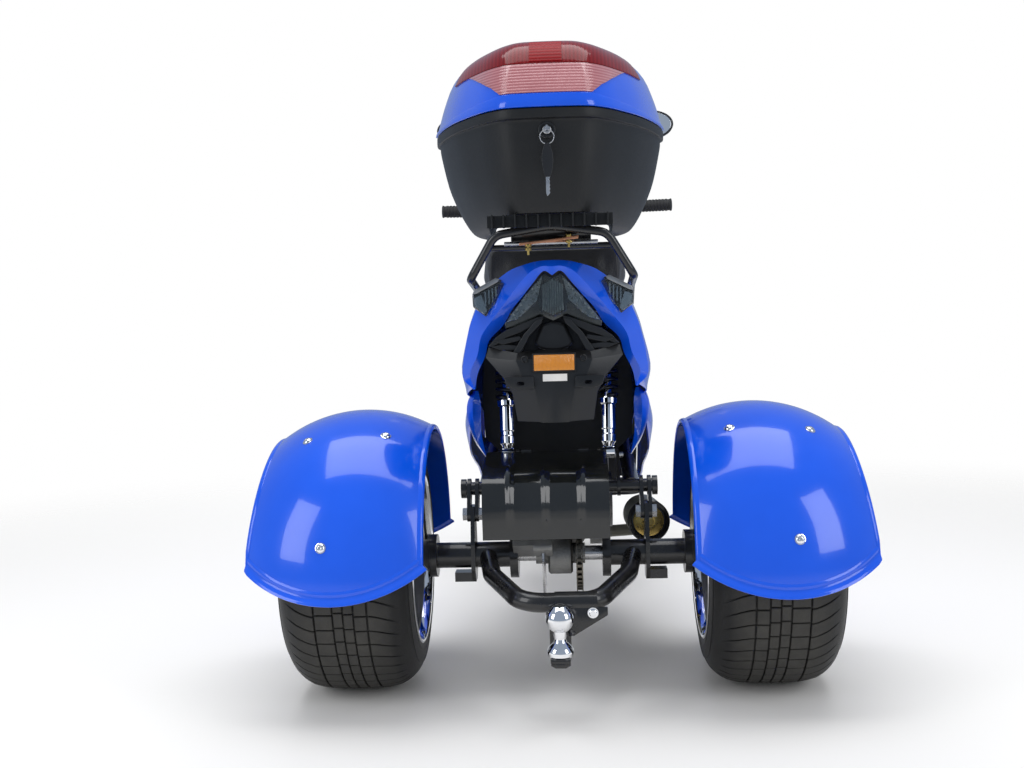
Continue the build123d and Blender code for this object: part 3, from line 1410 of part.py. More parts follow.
key_fob = cross_slab(
    [(-key_w / 2, lock_z - key_drop), (key_w / 2, lock_z - key_drop),
     (key_w / 2, lock_z - key_drop - key_l), (-key_w / 2, lock_z - key_drop - key_l)],
    lock_x - lock_t - key_t, lock_x - lock_t,
)
key_bar = rod((lock_x - lock_t, 0, lock_z), (lock_x - lock_t - key_t, 0, lock_z), lock_r / 2)
key_link = cross_slab(
    [(-key_t / 2, lock_z), (key_t / 2, lock_z), (key_t / 2, lock_z - key_drop), (-key_t / 2, lock_z - key_drop)],
    lock_x - lock_t - key_t, lock_x - lock_t,
)
save(fused(lock, key_fob, key_bar, key_link), "case_key")

# Exhaust: a pipe from the cylinder to a muffler low on the right
pipe_r = 14.0
pipe_bend_r = 40.0
muffler_r = 44.0
muffler_l = 250.0
muffler_y = -184.0
muffler_z = 262.0
muffler_rear_dx = 175.0
muffler_rise = 24.0
muffler_round = 12.0
muffler_end = Vector(aft(muffler_rear_dx), muffler_y, muffler_z + muffler_rise)
muffler_start = Vector(aft(muffler_rear_dx + muffler_l), muffler_y, muffler_z)
with BuildPart() as muffler:
    with BuildSketch(Plane(muffler_start, z_dir=muffler_end - muffler_start)):
        Circle(muffler_r)
    extrude(amount=muffler_l)
    chamfer(muffler.edges().filter_by(GeomType.CIRCLE), muffler_round)
pipe_low_z = case_z - pipe_r
exhaust_pipe = bent_tube(
    [
        (case_front + cylinder_l / 2, 0, case_mid_z),
        (case_front + cylinder_l / 2, 0, pipe_low_z - pipe_r),
        (muffler_start.X + muffler_l / 2, muffler_y, pipe_low_z),
        (muffler_start.X - muffler_r, muffler_y, muffler_z),
    ],
    pipe_bend_r, pipe_r,
)
save(less(fused(muffler.part, exhaust_pipe), engine.part), "exhaust")

# Rear brake caliper: two pads' housings round the disc, on a bracket from the left bearing plate
caliper_w = 56.0
caliper_h = 44.0
caliper_half_t = 18.0
caliper_gap = 2.0
caliper_angle = 30.0
caliper_reach = 92.0
caliper_in_r = 58.0
disc_mid_y = brake_disc_y + brake_disc_t / 2
caliper_plane = Plane(
    origin=(rear_axle_x, disc_mid_y, rear_axle_z),
    x_dir=(-cos(radians(caliper_angle)), 0, sin(radians(caliper_angle))), z_dir=(0, 1, 0),
)
with BuildPart() as caliper:
    with BuildSketch(caliper_plane):
        with Locations((caliper_in_r + caliper_h / 2, 0)):
            RectangleRounded(caliper_h, caliper_w, caliper_half_t / 2)
    extrude(amount=caliper_half_t, both=True)
    add(
        y_cylinder(rear_axle_x, rear_axle_z, disc_mid_y - brake_disc_t / 2 - caliper_gap,
                   disc_mid_y + brake_disc_t / 2 + caliper_gap, brake_disc_r + caliper_gap),
        mode=Mode.SUBTRACT,
    )
    with BuildSketch(caliper_plane.offset(caliper_half_t)):
        with Locations((bearing_plate_r + caliper_half_t / 2, 0)):
            Rectangle(caliper_w + caliper_half_t / 2, caliper_w / 2)
    extrude(amount=axle_tube_inner_y - bearing_plate_t / 2 - disc_mid_y - caliper_half_t)
save(less(caliper.part, axle_half.part), "rear_caliper")

# Front wheel, its disc and its axle
front_tyre = tyre(
    front_axle_x, 0, front_axle_z, front_tyre_r, front_tyre_w,
    front_rim_r + clearance, front_tread_w, front_shoulder_drop, tyre_wall,
)
save(front_tyre, "front_tyre")
front_axle_r = 8.0
front_rim = cast_rim(
    front_axle_x, 0, front_axle_z, front_rim_r, front_rim_w, front_disc_inset,
    front_hub_r, front_hub_l, front_axle_r + running_clearance, spoke_count,
)
save(front_rim, "front_rim")
front_disc_r = 95.0
front_disc_t = 4.0
front_disc_y = 34.0
front_boss_r = 30.0
front_boss_y = front_rim_w / 2 - front_disc_inset + rim_disc_t
with BuildPart() as front_disc:
    with BuildSketch(side_plane(front_disc_y)):
        with Locations((-front_axle_x, front_axle_z)):
            Circle(front_disc_r)
            Circle(front_axle_r + running_clearance, mode=Mode.SUBTRACT)
            with PolarLocations((front_disc_r + front_hub_r) / 2, disc_hole_count):
                Circle(disc_hole_r, mode=Mode.SUBTRACT)
    extrude(amount=front_disc_t)
    add(less(
        y_cylinder(front_axle_x, front_axle_z, front_boss_y, front_disc_y, front_boss_r),
        y_cylinder(front_axle_x, front_axle_z, 0, front_disc_y + front_disc_t, front_axle_r + running_clearance),
    ))
save(front_disc.part, "front_brake_disc")

# Fork: two legs, the crown, the axle and the stem in the head tube
leg_y = 98.0
slider_r = 24.0
stanchion_r = 16.0
slider_l = 246.0
crown_low = 296.0
crown_t = 22.0
crown_half_l = 34.0
stem_high = 850.0
stem_r = head_bore_r - running_clearance
dropout_l = 34.0
fork_parts = [y_cylinder(front_axle_x, front_axle_z, -leg_y - slider_r, leg_y + slider_r, front_axle_r)]
for side in (1, -1):
    leg = fused(
        rod(on_steering(-dropout_l, fork_offset, side * leg_y), on_steering(slider_l, fork_offset, side * leg_y),
            slider_r),
        rod(on_steering(slider_l, fork_offset, side * leg_y), on_steering(crown_low + crown_t, fork_offset, side * leg_y),
            stanchion_r),
    )
    fork_parts.append(leg)
with BuildPart() as crown:
    with BuildSketch(steering_plane(crown_low)):
        with Locations((fork_offset, leg_y), (fork_offset, -leg_y)):
            Circle(slider_r)
        Circle(crown_half_l)
        make_hull()
    extrude(amount=crown_t)
fork_parts += [crown.part, rod(on_steering(crown_low), on_steering(stem_high), stem_r)]
save(fused(*fork_parts), "fork")

# Front caliper on the left leg
front_caliper_r = 70.0
with BuildPart() as front_caliper:
    caliper_seat = Plane(
        origin=(front_axle_x, front_disc_y + front_disc_t / 2, front_axle_z),
        x_dir=(-cos(lean), 0, sin(lean)), z_dir=(0, 1, 0),
    )
    with BuildSketch(caliper_seat):
        with Locations((front_caliper_r + caliper_h / 2, 0)):
            RectangleRounded(caliper_h, caliper_w, caliper_half_t / 2)
    extrude(amount=caliper_half_t, both=True)
    add(
        y_cylinder(front_axle_x, front_axle_z, front_disc_y - caliper_gap,
                   front_disc_y + front_disc_t + caliper_gap, front_disc_r + caliper_gap),
        mode=Mode.SUBTRACT,
    )
    with BuildSketch(caliper_seat.offset(caliper_half_t)):
        with Locations((front_caliper_r - caliper_h / 2, caliper_w / 4)):
            Rectangle(2 * front_caliper_r, caliper_w / 2)
    extrude(amount=leg_y - stanchion_r - front_disc_y - caliper_half_t)
front_caliper_part = less(front_caliper.part, *fork_parts, y_cylinder(
    front_axle_x, front_axle_z, 0, leg_y, front_hub_r + clearance))
save(front_caliper_part, "front_caliper")

# Front fender: a crowned strip round the tyre on two short stays
front_fender_r = 262.0
front_fender_half_w = 78.0
front_fender_drop = 26.0
front_fender_turn = 150.0
front_fender_start = -66.0
front_fender_t = 3.0
front_line = Axis((front_axle_x, 0, front_axle_z), (0, 1, 0))
with BuildPart() as front_fender:
    with BuildSketch(cross_plane(front_axle_x, z=front_axle_z)):
        with BuildLine():
            low_r = front_fender_r - front_fender_drop
            ThreePointArc((-front_fender_half_w, low_r), (0, front_fender_r), (front_fender_half_w, low_r))
            Line((front_fender_half_w, low_r), (front_fender_half_w, low_r - front_fender_t))
            ThreePointArc(
                (front_fender_half_w, low_r - front_fender_t), (0, front_fender_r - front_fender_t),
                (-front_fender_half_w, low_r - front_fender_t),
            )
            Line((-front_fender_half_w, low_r - front_fender_t), (-front_fender_half_w, low_r))
        make_face()
    revolve(axis=front_line, revolution_arc=front_fender_turn)
front_fender_part = front_fender.part.rotate(front_line, -front_fender_turn / 2 + front_fender_start / 3)
save(less(front_fender_part, *fork_parts), "front_fender")

# Handlebar: a bent tube on the stem with grips and levers
bar_r = 11.0
bar_bend_r = 40.0
bar_up = 842.0
bar_rise = 30.0
bar_back = 45.0
bar_shoulder_y = 110.0
grip_in_y = 196.0
grip_out_y = 308.0
grip_r = 17.0
grip_gap = 4.0
bar_mid = Vector(on_steering(bar_up))
grip_slope = bar_back / (grip_out_y - bar_shoulder_y)


def bar_point(y, ahead=0.0):
    """A place on the outer run of the handlebar."""
    return bar_mid.X - (abs(y) - bar_shoulder_y) * grip_slope + ahead, y, bar_mid.Z + bar_rise


bar_side = [
    (bar_mid.X, bar_shoulder_y / 2, bar_mid.Z),
    (bar_mid.X, bar_shoulder_y, bar_mid.Z + bar_rise),
    bar_point(grip_out_y - 2 * grip_gap),
]
handlebar = fused(
    bent_tube([(x, y, z) for x, y, z in bar_side[::-1]] + [(x, -y, z) for x, y, z in bar_side], bar_bend_r / 2, bar_r),
    rod(on_steering(bar_up - bar_r * 3), on_steering(bar_up), bar_r * 2),
)
handlebar = less(handlebar, *fork_parts)
save(handlebar, "handlebar")
grips, levers = [], []
lever_gap = 34.0
lever_r = 6.0
lever_l = 150.0


for side in (1, -1):
    grips.append(less(
        rod(bar_point(side * grip_in_y), bar_point(side * grip_out_y), grip_r),
        rod(bar_point(side * (grip_in_y - overrun)), bar_point(side * (grip_out_y - grip_gap)), bar_r + running_clearance),
    ))
    levers.append(bent_tube(
        [bar_point(side * (grip_in_y - lever_gap)), bar_point(side * (grip_in_y - lever_gap), lever_gap),
         bar_point(side * (grip_in_y - lever_gap + lever_l), lever_gap + lever_r)],
        lever_r * 2, lever_r,
    ))
save(fused(*grips), "grips")
save(less(fused(*levers), handlebar), "brake_levers")

# Mirrors: an arm from each side of the bar to a rounded housing
mirror_half_w = 60.0
mirror_half_h = 38.0
mirror_t = 22.0
mirror_y = 262.0
mirror_z = 1232.0
mirror_x_gap = 20.0
mirror_arm_r = 5.0
mirror_foot_y = 150.0
mirror_x = bar_mid.X + mirror_x_gap
mirrors = []
for side in (1, -1):
    with BuildPart() as mirror_side:
        with BuildSketch(cross_plane(mirror_x - mirror_t / 2)):
            with Locations((side * mirror_y, mirror_z)):
                Ellipse(mirror_half_w, mirror_half_h)
        extrude(amount=mirror_t)
        chamfer(mirror_side.faces().sort_by(Axis.X)[-1].edges(), mirror_t / 3)
        add(bent_tube(
            [bar_point(side * mirror_foot_y), (mirror_x, side * mirror_foot_y, mirror_z - 2 * mirror_half_h),
             (mirror_x, side * mirror_y, mirror_z)],
            bar_bend_r, mirror_arm_r,
        ))
    mirrors.append(less(mirror_side.part, handlebar, *levers))
save(fused(*mirrors), "mirrors")

# Headset cowl round the middle of the bar
cowl_half_w = 92.0
cowl_l = 96.0
cowl_low = 792.0
cowl_h = 104.0
cowl_corner_r = 26.0
# Columns: height share, half width share, length share
cowl_shares = ((0.0, 0.7, 0.74), (0.45, 1.0, 1.0), (0.8, 1.0, 0.9), (1.0, 0.8, 0.66))
with BuildPart() as headset_cowl:
    for height_share, width_share, length_share in cowl_shares:
        with BuildSketch(steering_plane(cowl_low + height_share * cowl_h, cowl_corner_r / 2)):
            RectangleRounded(length_share * cowl_l, 2 * width_share * cowl_half_w, length_share * cowl_corner_r)
    loft(ruled=True)
save(less(headset_cowl.part, handlebar, *fork_parts, *levers, *mirrors), "headset_cowl")


# Leg shield: it faces the rider and wraps back at its edges
shield_half_w = 205.0
shield_low_z = 277.0
shield_h = 590.0
shield_wrap = 46.0
shield_x = 404.0
shield_bow = 76.0
# Columns: height share, middle's share of the bow behind the front place, half width share
shield_shares = ((0.0, 0.95, 0.96), (0.26, 0.52, 1.0), (0.5, 0.0, 1.0), (0.74, 0.16, 0.92), (1.0, 0.92, 0.70))
shield_stations = []
for height_share, bow_share, width_share in shield_shares:
    mid_x = shield_x - bow_share * shield_bow
    half = width_share * shield_half_w
    shield_stations.append((shield_low_z + height_share * shield_h, [
        (mid_x - shield_wrap, half), (mid_x - shield_wrap / 4, half - shield_wrap / 2), (mid_x, half / 2),
        (mid_x, -half / 2), (mid_x - shield_wrap / 4, shield_wrap / 2 - half), (mid_x - shield_wrap, -half),
    ]))
leg_shield = wrap_loft(shield_stations, panel_t)
save(leg_shield, "leg_shield")

# Front apron: the outer shell ahead of the leg shield, with the headlight in its nose
apron_half_w = 200.0
apron_low_z = 566.0
apron_h = 300.0
apron_nose_x = 632.0
apron_l = 250.0
apron_mid_share = 0.86
apron_nose_share = 0.3
# Columns: height share, nose's share of the length, half width share, rear edge's share of the length
apron_shares = ((0.0, 1.0, 0.98, 0.0), (0.45, 0.98, 0.95, 0.0), (0.8, 0.66, 0.84, -0.08), (1.0, 0.36, 0.62, -0.18))
apron_stations = []
for height_share, nose_share, width_share, rear_share in apron_shares:
    rear_x = apron_nose_x - apron_l + rear_share * apron_l
    nose_x = apron_nose_x - apron_l + nose_share * apron_l
    half = width_share * apron_half_w
    apron_stations.append((apron_low_z + height_share * apron_h, [
        (rear_x, -half), ((rear_x + nose_x) / 2, -half * apron_mid_share), (nose_x, -half * apron_nose_share),
        (nose_x, half * apron_nose_share), ((rear_x + nose_x) / 2, half * apron_mid_share), (rear_x, half),
    ]))
headlight_z = 700.0
headlight_half_w = 76.0
headlight_half_h = 40.0
headlight_l = 60.0
headlight_out = 12.0
with BuildPart() as headlight:
    with BuildSketch(cross_plane(apron_nose_x - headlight_l)):
        with Locations((0, headlight_z)):
            RectangleRounded(2 * headlight_half_w, 2 * headlight_half_h, headlight_half_h / 2)
    extrude(amount=headlight_l + headlight_out)
    chamfer(headlight.faces().sort_by(Axis.X)[-1].edges(), headlight_out / 2)
front_apron = less(wrap_loft(apron_stations, panel_t), headlight.part, leg_shield)
save(front_apron, "front_apron")
save(headlight.part, "headlight")

# Floorboard over the frame's floor rails
floor_half_w = 200.0
floor_t = 14.0
floor_gap = 2.0
floor_corner_share = 0.17
floor_z = floor_rail_z + rail_r + floor_gap
cover_t = 4.0
cover_x = aft(tail_rear_dx + tail_shares[-1][0] * body_l)
floor_l = floor_front_x - cover_x - cover_t
with BuildPart() as floorboard:
    with BuildSketch(Plane(origin=(floor_front_x - floor_l / 2, 0, floor_z))):
        RectangleRounded(floor_l, 2 * floor_half_w, floor_corner_share * floor_l)
    extrude(amount=floor_t)
save(less(floorboard.part, rail, mirrored(rail), down_tube), "floorboard")

# Cover below the front of the seat, from the floorboard up
cover_half_w = 150.0
cover_top_z = 676.0
cover_waist_share = 0.9
cover_mid_z = (floor_z + cover_top_z) / 2
cover_waist = cover_half_w * cover_waist_share
seat_front_cover = cross_slab(
    [(-cover_waist, floor_z), (cover_waist, floor_z), (cover_half_w, cover_mid_z), (cover_waist, cover_top_z),
     (-cover_waist, cover_top_z), (-cover_half_w, cover_mid_z)],
    cover_x, cover_x + cover_t,
)
save(less(seat_front_cover, rail, mirrored(rail)), "seat_front_cover")
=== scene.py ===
# %% [markdown]
# This lesson dresses a motor trike. The imported model gives every rigid piece its place and size;
# here each piece gets the surface that the eye expects: rolled edges, tread, stitched vinyl,
# clear and smoked lamps, gloss paint, chrome and grained plastic. The frame is loaded first, and
# the box of each of its pieces can be read from its mesh. The dressed trike must not outgrow it.

# %% Load the frame and read its boxes
import json
import math

import bpy
import bmesh
from mathutils import Matrix, Vector

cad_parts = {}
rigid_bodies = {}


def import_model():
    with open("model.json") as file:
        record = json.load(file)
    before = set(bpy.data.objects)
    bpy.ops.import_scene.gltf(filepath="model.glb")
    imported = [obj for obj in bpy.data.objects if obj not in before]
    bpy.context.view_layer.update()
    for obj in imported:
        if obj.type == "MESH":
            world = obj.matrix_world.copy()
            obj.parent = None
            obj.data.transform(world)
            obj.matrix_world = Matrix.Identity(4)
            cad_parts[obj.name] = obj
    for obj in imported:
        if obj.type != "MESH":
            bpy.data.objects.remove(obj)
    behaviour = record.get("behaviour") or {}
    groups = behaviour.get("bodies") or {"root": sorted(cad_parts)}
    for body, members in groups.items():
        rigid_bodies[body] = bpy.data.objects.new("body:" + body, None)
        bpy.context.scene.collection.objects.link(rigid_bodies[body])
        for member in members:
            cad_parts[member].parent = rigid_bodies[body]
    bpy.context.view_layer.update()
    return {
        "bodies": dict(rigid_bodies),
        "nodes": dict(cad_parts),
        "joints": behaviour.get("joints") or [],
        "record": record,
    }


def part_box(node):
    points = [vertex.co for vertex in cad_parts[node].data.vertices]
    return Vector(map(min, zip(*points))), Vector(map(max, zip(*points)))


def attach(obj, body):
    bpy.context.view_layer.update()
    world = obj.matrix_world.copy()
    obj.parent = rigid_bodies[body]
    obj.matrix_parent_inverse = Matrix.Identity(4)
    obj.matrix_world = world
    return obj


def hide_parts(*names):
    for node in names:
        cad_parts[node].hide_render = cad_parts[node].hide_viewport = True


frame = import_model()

nodes = frame["nodes"]
print("nodes in the frame:", len(nodes))

# %% [markdown]
# The photograph was taken from behind, from the height of the tail lamp, looking slightly to the
# trike's left. The camera's place and tilt are worked out from the picture: the horizon's row, the
# column where lines along the trike meet, the slight roll, and the lens in pixels.

# %% Camera
image_w, image_h = 1024, 768
lens_px = 1250.0
horizon_row = 316.5
meeting_column = 573.6
camera_roll = math.radians(1.6)
camera_back = 2.4425
camera_left = -0.034
camera_height = 0.722
sensor = 36.0

rear_axle_x = (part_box("axle_housing")[0].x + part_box("axle_housing")[1].x) / 2
rear_axle_z = (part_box("rear_tyre_left")[0].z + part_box("rear_tyre_left")[1].z) / 2
pitch = math.atan((image_h / 2 - horizon_row) / lens_px)
yaw = math.atan((meeting_column - image_w / 2) / lens_px)
look = Vector((math.cos(pitch) * math.cos(yaw), math.cos(pitch) * math.sin(yaw), -math.sin(pitch)))
right = look.cross(Vector((0, 0, 1))).normalized()
up = right.cross(look)
rolled_right = right * math.cos(camera_roll) - up * math.sin(camera_roll)
rolled_up = up * math.cos(camera_roll) + right * math.sin(camera_roll)
camera_data = bpy.data.cameras.new("camera")
camera_data.sensor_width = sensor
camera_data.lens = lens_px / image_w * sensor
camera = bpy.data.objects.new("camera", camera_data)
bpy.context.scene.collection.objects.link(camera)
camera.matrix_world = Matrix.Translation((rear_axle_x - camera_back, camera_left, camera_height)) @ Matrix(
    (rolled_right, rolled_up, -look)
).transposed().to_4x4()
bpy.context.scene.camera = camera
bpy.context.scene.view_settings.view_transform = "Standard"
print("camera", [round(v, 3) for v in camera.location])

# %% [markdown]
# Shader nodes are wired by a few small helpers: a new material, a value or a link into a socket,
# math, colour mixes, ranges, object coordinates through a mapping, and noise.

# %% Helpers for shader nodes


def new_material(name):
    """A material with an empty node tree but for its shader and its output."""
    material = bpy.data.materials.new(name)
    material.use_nodes = True
    tree = material.node_tree
    tree.nodes.clear()
    output = tree.nodes.new("ShaderNodeOutputMaterial")
    shader = tree.nodes.new("ShaderNodeBsdfPrincipled")
    tree.links.new(shader.outputs["BSDF"], output.inputs["Surface"])
    return material, tree, shader, output


def feed(tree, socket, value):
    """Put a number, a colour or another socket's value into a socket."""
    if isinstance(value, bpy.types.NodeSocket):
        tree.links.new(value, socket)
    else:
        socket.default_value = value


def math_node(tree, operation, *values):
    """A Math node whose inputs are numbers or sockets."""
    node = tree.nodes.new("ShaderNodeMath")
    node.operation = operation
    for index, value in enumerate(values):
        feed(tree, node.inputs[index], value)
    return node.outputs[0]


def mix_colour(tree, factor, first, second):
    """A colour between two, by a number or a mask."""
    node = tree.nodes.new("ShaderNodeMix")
    node.data_type = "RGBA"
    feed(tree, node.inputs["Factor"], factor)
    feed(tree, node.inputs[6], first)
    feed(tree, node.inputs[7], second)
    return node.outputs[2]


def map_range(tree, value, low, high, to_low=0.0, to_high=1.0):
    """A value stretched from one range to another, and held at its ends."""
    node = tree.nodes.new("ShaderNodeMapRange")
    for index, number in enumerate((value, low, high, to_low, to_high)):
        feed(tree, node.inputs[index], number)
    return node.outputs[0]


def object_place(tree, stretch=(1, 1, 1), move=(0, 0, 0), turn=(0, 0, 0)):
    """Object coordinates through a Mapping node, in metres."""
    coordinates = tree.nodes.new("ShaderNodeTexCoord")
    mapping = tree.nodes.new("ShaderNodeMapping")
    mapping.inputs["Scale"].default_value = stretch
    mapping.inputs["Location"].default_value = move
    mapping.inputs["Rotation"].default_value = turn
    tree.links.new(coordinates.outputs["Object"], mapping.inputs["Vector"])
    return mapping.outputs["Vector"]


def noise(tree, place, scale, detail=3.0, roughness=0.55):
    """A noise value between 0 and 1."""
    node = tree.nodes.new("ShaderNodeTexNoise")
    tree.links.new(place, node.inputs["Vector"])
    for name, value in (("Scale", scale), ("Detail", detail), ("Roughness", roughness)):
        feed(tree, node.inputs[name], value)
    return node.outputs["Fac"]


# %% [markdown]
# A plain studio: a white world for what the camera and clear glass see, a dim bluish sky for what
# mirrors and gloss see, a softer white one for light, one wide lamp overhead, one on each side, one in
# front that no mirror shows, and a pale floor that fades into the white.

# %% Studio
world = bpy.data.worlds.new("studio")
bpy.context.scene.world = world
world.use_nodes = True
world_tree = world.node_tree
world_tree.nodes.clear()
world_out = world_tree.nodes.new("ShaderNodeOutputWorld")
world_back = world_tree.nodes.new("ShaderNodeBackground")
world_path = world_tree.nodes.new("ShaderNodeLightPath")
seen = math_node(world_tree, "ADD", world_path.outputs["Is Camera Ray"], world_path.outputs["Is Transmission Ray"])
ambient = 0.55
world_strength = math_node(world_tree, "MAXIMUM", math_node(world_tree, "MINIMUM", seen, 1.0), ambient)
mirrored_sky, plain_white = (0.54, 0.64, 0.80, 1), (1, 1, 1, 1)
world_tint = mix_colour(world_tree, world_path.outputs["Is Glossy Ray"], plain_white, mirrored_sky)
world_tree.links.new(world_tint, world_back.inputs["Color"])
world_tree.links.new(world_strength, world_back.inputs["Strength"])
world_tree.links.new(world_back.outputs[0], world_out.inputs[0])


def area_lamp(name, place, target, width, height, watts):
    """A soft rectangular lamp that faces a point."""
    data = bpy.data.lights.new(name, "AREA")
    data.shape = "RECTANGLE"
    data.size, data.size_y = width, height
    data.energy = watts
    lamp = bpy.data.objects.new(name, data)
    lamp.location = place
    lamp.rotation_euler = (Vector(target) - Vector(place)).to_track_quat("-Z", "Y").to_euler()
    bpy.context.scene.collection.objects.link(lamp)
    return lamp


middle = (0, 0, 0.5)
area_lamp("overhead", (-0.5, 0, 3.3), middle, 3.4, 2.2, 66)
area_lamp("left_side", (-2.6, 2.9, 1.7), middle, 1.4, 2.4, 34)
area_lamp("right_side", (-2.6, -2.9, 1.7), middle, 1.4, 2.4, 34)
front_lamp = area_lamp("front_side", (3.6, 0.6, 2.2), middle, 2.4, 2.0, 40)
front_lamp.visible_glossy = False

floor_r = 7.0
bpy.ops.object.select_all(action="DESELECT")
bpy.ops.mesh.primitive_circle_add(vertices=96, radius=floor_r, fill_type="NGON", location=(0, 0, 0))
floor = bpy.context.active_object
floor.name = "floor"
floor_material, tree, shader, output = new_material("pale_floor")
shader.inputs["Base Color"].default_value = (0.9, 0.9, 0.9, 1)
shader.inputs["Roughness"].default_value = 0.65
shader.inputs["Specular IOR Level"].default_value = 0.12
coords = tree.nodes.new("ShaderNodeTexCoord")
reach = tree.nodes.new("ShaderNodeVectorMath")
reach.operation = "LENGTH"
tree.links.new(coords.outputs["Object"], reach.inputs[0])
fade = tree.nodes.new("ShaderNodeMapRange")
fade.interpolation_type = "SMOOTHSTEP"
fade.inputs["From Min"].default_value = 1.2
fade.inputs["From Max"].default_value = 3.4
tree.links.new(reach.outputs["Value"], fade.inputs["Value"])
clear = tree.nodes.new("ShaderNodeBsdfTransparent")
mix = tree.nodes.new("ShaderNodeMixShader")
tree.links.new(fade.outputs[0], mix.inputs[0])
tree.links.new(shader.outputs[0], mix.inputs[1])
tree.links.new(clear.outputs[0], mix.inputs[2])
tree.links.new(mix.outputs[0], output.inputs["Surface"])
floor.data.materials.append(floor_material)

# %% [markdown]
# Paint, moulded plastic, rubber and metal all share a few effects: a slow change of tone over
# the piece, a fine grain that catches the light, and dust that settles on what faces up. Each
# effect is a shader node group with named sockets, built once and placed in every finish with
# its own values.

# %% Node groups for tone, grain and dust


def shader_group(name, inputs, outputs):
    """An empty node group with named sockets: (name, type, value) in, (name, type) out."""
    group = bpy.data.node_groups.new(name, "ShaderNodeTree")
    for label, kind, value in inputs:
        socket = group.interface.new_socket(label, in_out="INPUT", socket_type=kind)
        socket.default_value = value
    for label, kind in outputs:
        group.interface.new_socket(label, in_out="OUTPUT", socket_type=kind)
    return group, group.nodes.new("NodeGroupInput"), group.nodes.new("NodeGroupOutput")


def placed_group(tree, group, **values):
    """The group as a node in a material; spaces in socket names are written as underscores."""
    node = tree.nodes.new("ShaderNodeGroup")
    node.node_tree = group
    for label, value in values.items():
        feed(tree, node.inputs[label.replace("_", " ")], value)
    return node


colour, number = "NodeSocketColor", "NodeSocketFloat"
tone_group, source, sink = shader_group(
    "tone", [("Dark", colour, (0, 0, 0, 1)), ("Light", colour, (1, 1, 1, 1)), ("Scale", number, 6.0)],
    [("Color", colour), ("Mask", number)],
)
tone_place = object_place(tone_group)
tone_value = noise(tone_group, tone_place, source.outputs["Scale"], 4.0, 0.6)
tone_mask = map_range(tone_group, tone_value, 0.32, 0.68)
tone_group.links.new(
    mix_colour(tone_group, tone_mask, source.outputs["Dark"], source.outputs["Light"]), sink.inputs["Color"]
)
tone_group.links.new(tone_mask, sink.inputs["Mask"])

grain_group, source, sink = shader_group("moulded_grain", [("Scale", number, 900.0)], [("Height", number)])
grain_place = object_place(grain_group)
cells = grain_group.nodes.new("ShaderNodeTexVoronoi")
grain_group.links.new(grain_place, cells.inputs["Vector"])
grain_group.links.new(source.outputs["Scale"], cells.inputs["Scale"])
grain_group.links.new(
    math_node(grain_group, "ADD", cells.outputs["Distance"], noise(grain_group, grain_place, source.outputs["Scale"])),
    sink.inputs["Height"],
)

ripple_group, source, sink = shader_group("paint_ripple", [("Scale", number, 60.0)], [("Height", number)])
ripple_group.links.new(
    noise(ripple_group, object_place(ripple_group), source.outputs["Scale"], 1.5, 0.4), sink.inputs["Height"]
)

brush_group, source, sink = shader_group(
    "brushed_lines", [("Scale", number, 60.0)], [("Height", number)]
)
brush_group.links.new(
    noise(brush_group, object_place(brush_group, (1, 14, 14)), source.outputs["Scale"], 2.0), sink.inputs["Height"]
)

dust_group, source, sink = shader_group("settled_dust", [("Amount", number, 0.3), ("Scale", number, 40.0)], [("Mask", number)])
facing = dust_group.nodes.new("ShaderNodeNewGeometry")
split = dust_group.nodes.new("ShaderNodeSeparateXYZ")
dust_group.links.new(facing.outputs["Normal"], split.inputs[0])
facing_up = map_range(dust_group, split.outputs["Z"], 0.25, 1.0)
patchy = map_range(dust_group, noise(dust_group, object_place(dust_group), source.outputs["Scale"], 5.0), 0.35, 0.7)
dust_group.links.new(
    math_node(dust_group, "MULTIPLY", math_node(dust_group, "MULTIPLY", facing_up, patchy), source.outputs["Amount"]),
    sink.inputs["Mask"],
)
relief_groups = {"grain": grain_group, "ripple": ripple_group, "brushed": brush_group}
print("node groups:", [group.name for group in bpy.data.node_groups])

# %% [markdown]
# A finish is then one call: two tones, how rough it is, which relief it has and how much dust it
# holds. Even values such as coat or sheen sit on the shader's own sockets.

# %% Finishes
dust_colour = (0.16, 0.145, 0.125, 1)


def finish(name, dark, light, tone_scale=6.0, rough=(0.3, 0.4), relief="ripple", relief_scale=60.0,
           relief_height=0.0004, dust=0.0, **fixed):
    """A procedural finish. fixed holds even values by socket name, with underscores for spaces."""
    material, tree, shader, output = new_material(name)
    tone = placed_group(tree, tone_group, Dark=(*dark, 1), Light=(*light, 1), Scale=tone_scale)
    base = tone.outputs["Color"]
    roughness = map_range(tree, tone.outputs["Mask"], 0.0, 1.0, *rough)
    if dust:
        settled = placed_group(tree, dust_group, Amount=dust)
        base = mix_colour(tree, settled.outputs["Mask"], base, dust_colour)
        roughness = math_node(tree, "ADD", roughness, math_node(tree, "MULTIPLY", settled.outputs["Mask"], 0.3))
    tree.links.new(base, shader.inputs["Base Color"])
    tree.links.new(roughness, shader.inputs["Roughness"])
    raised = placed_group(tree, relief_groups[relief], Scale=relief_scale)
    bump = tree.nodes.new("ShaderNodeBump")
    bump.inputs["Strength"].default_value = 0.6
    bump.inputs["Distance"].default_value = relief_height
    tree.links.new(raised.outputs["Height"], bump.inputs["Height"])
    tree.links.new(bump.outputs["Normal"], shader.inputs["Normal"])
    for label, value in fixed.items():
        shader.inputs[label.replace("_", " ")].default_value = value
    material.diffuse_color = (*light, 1)
    return material


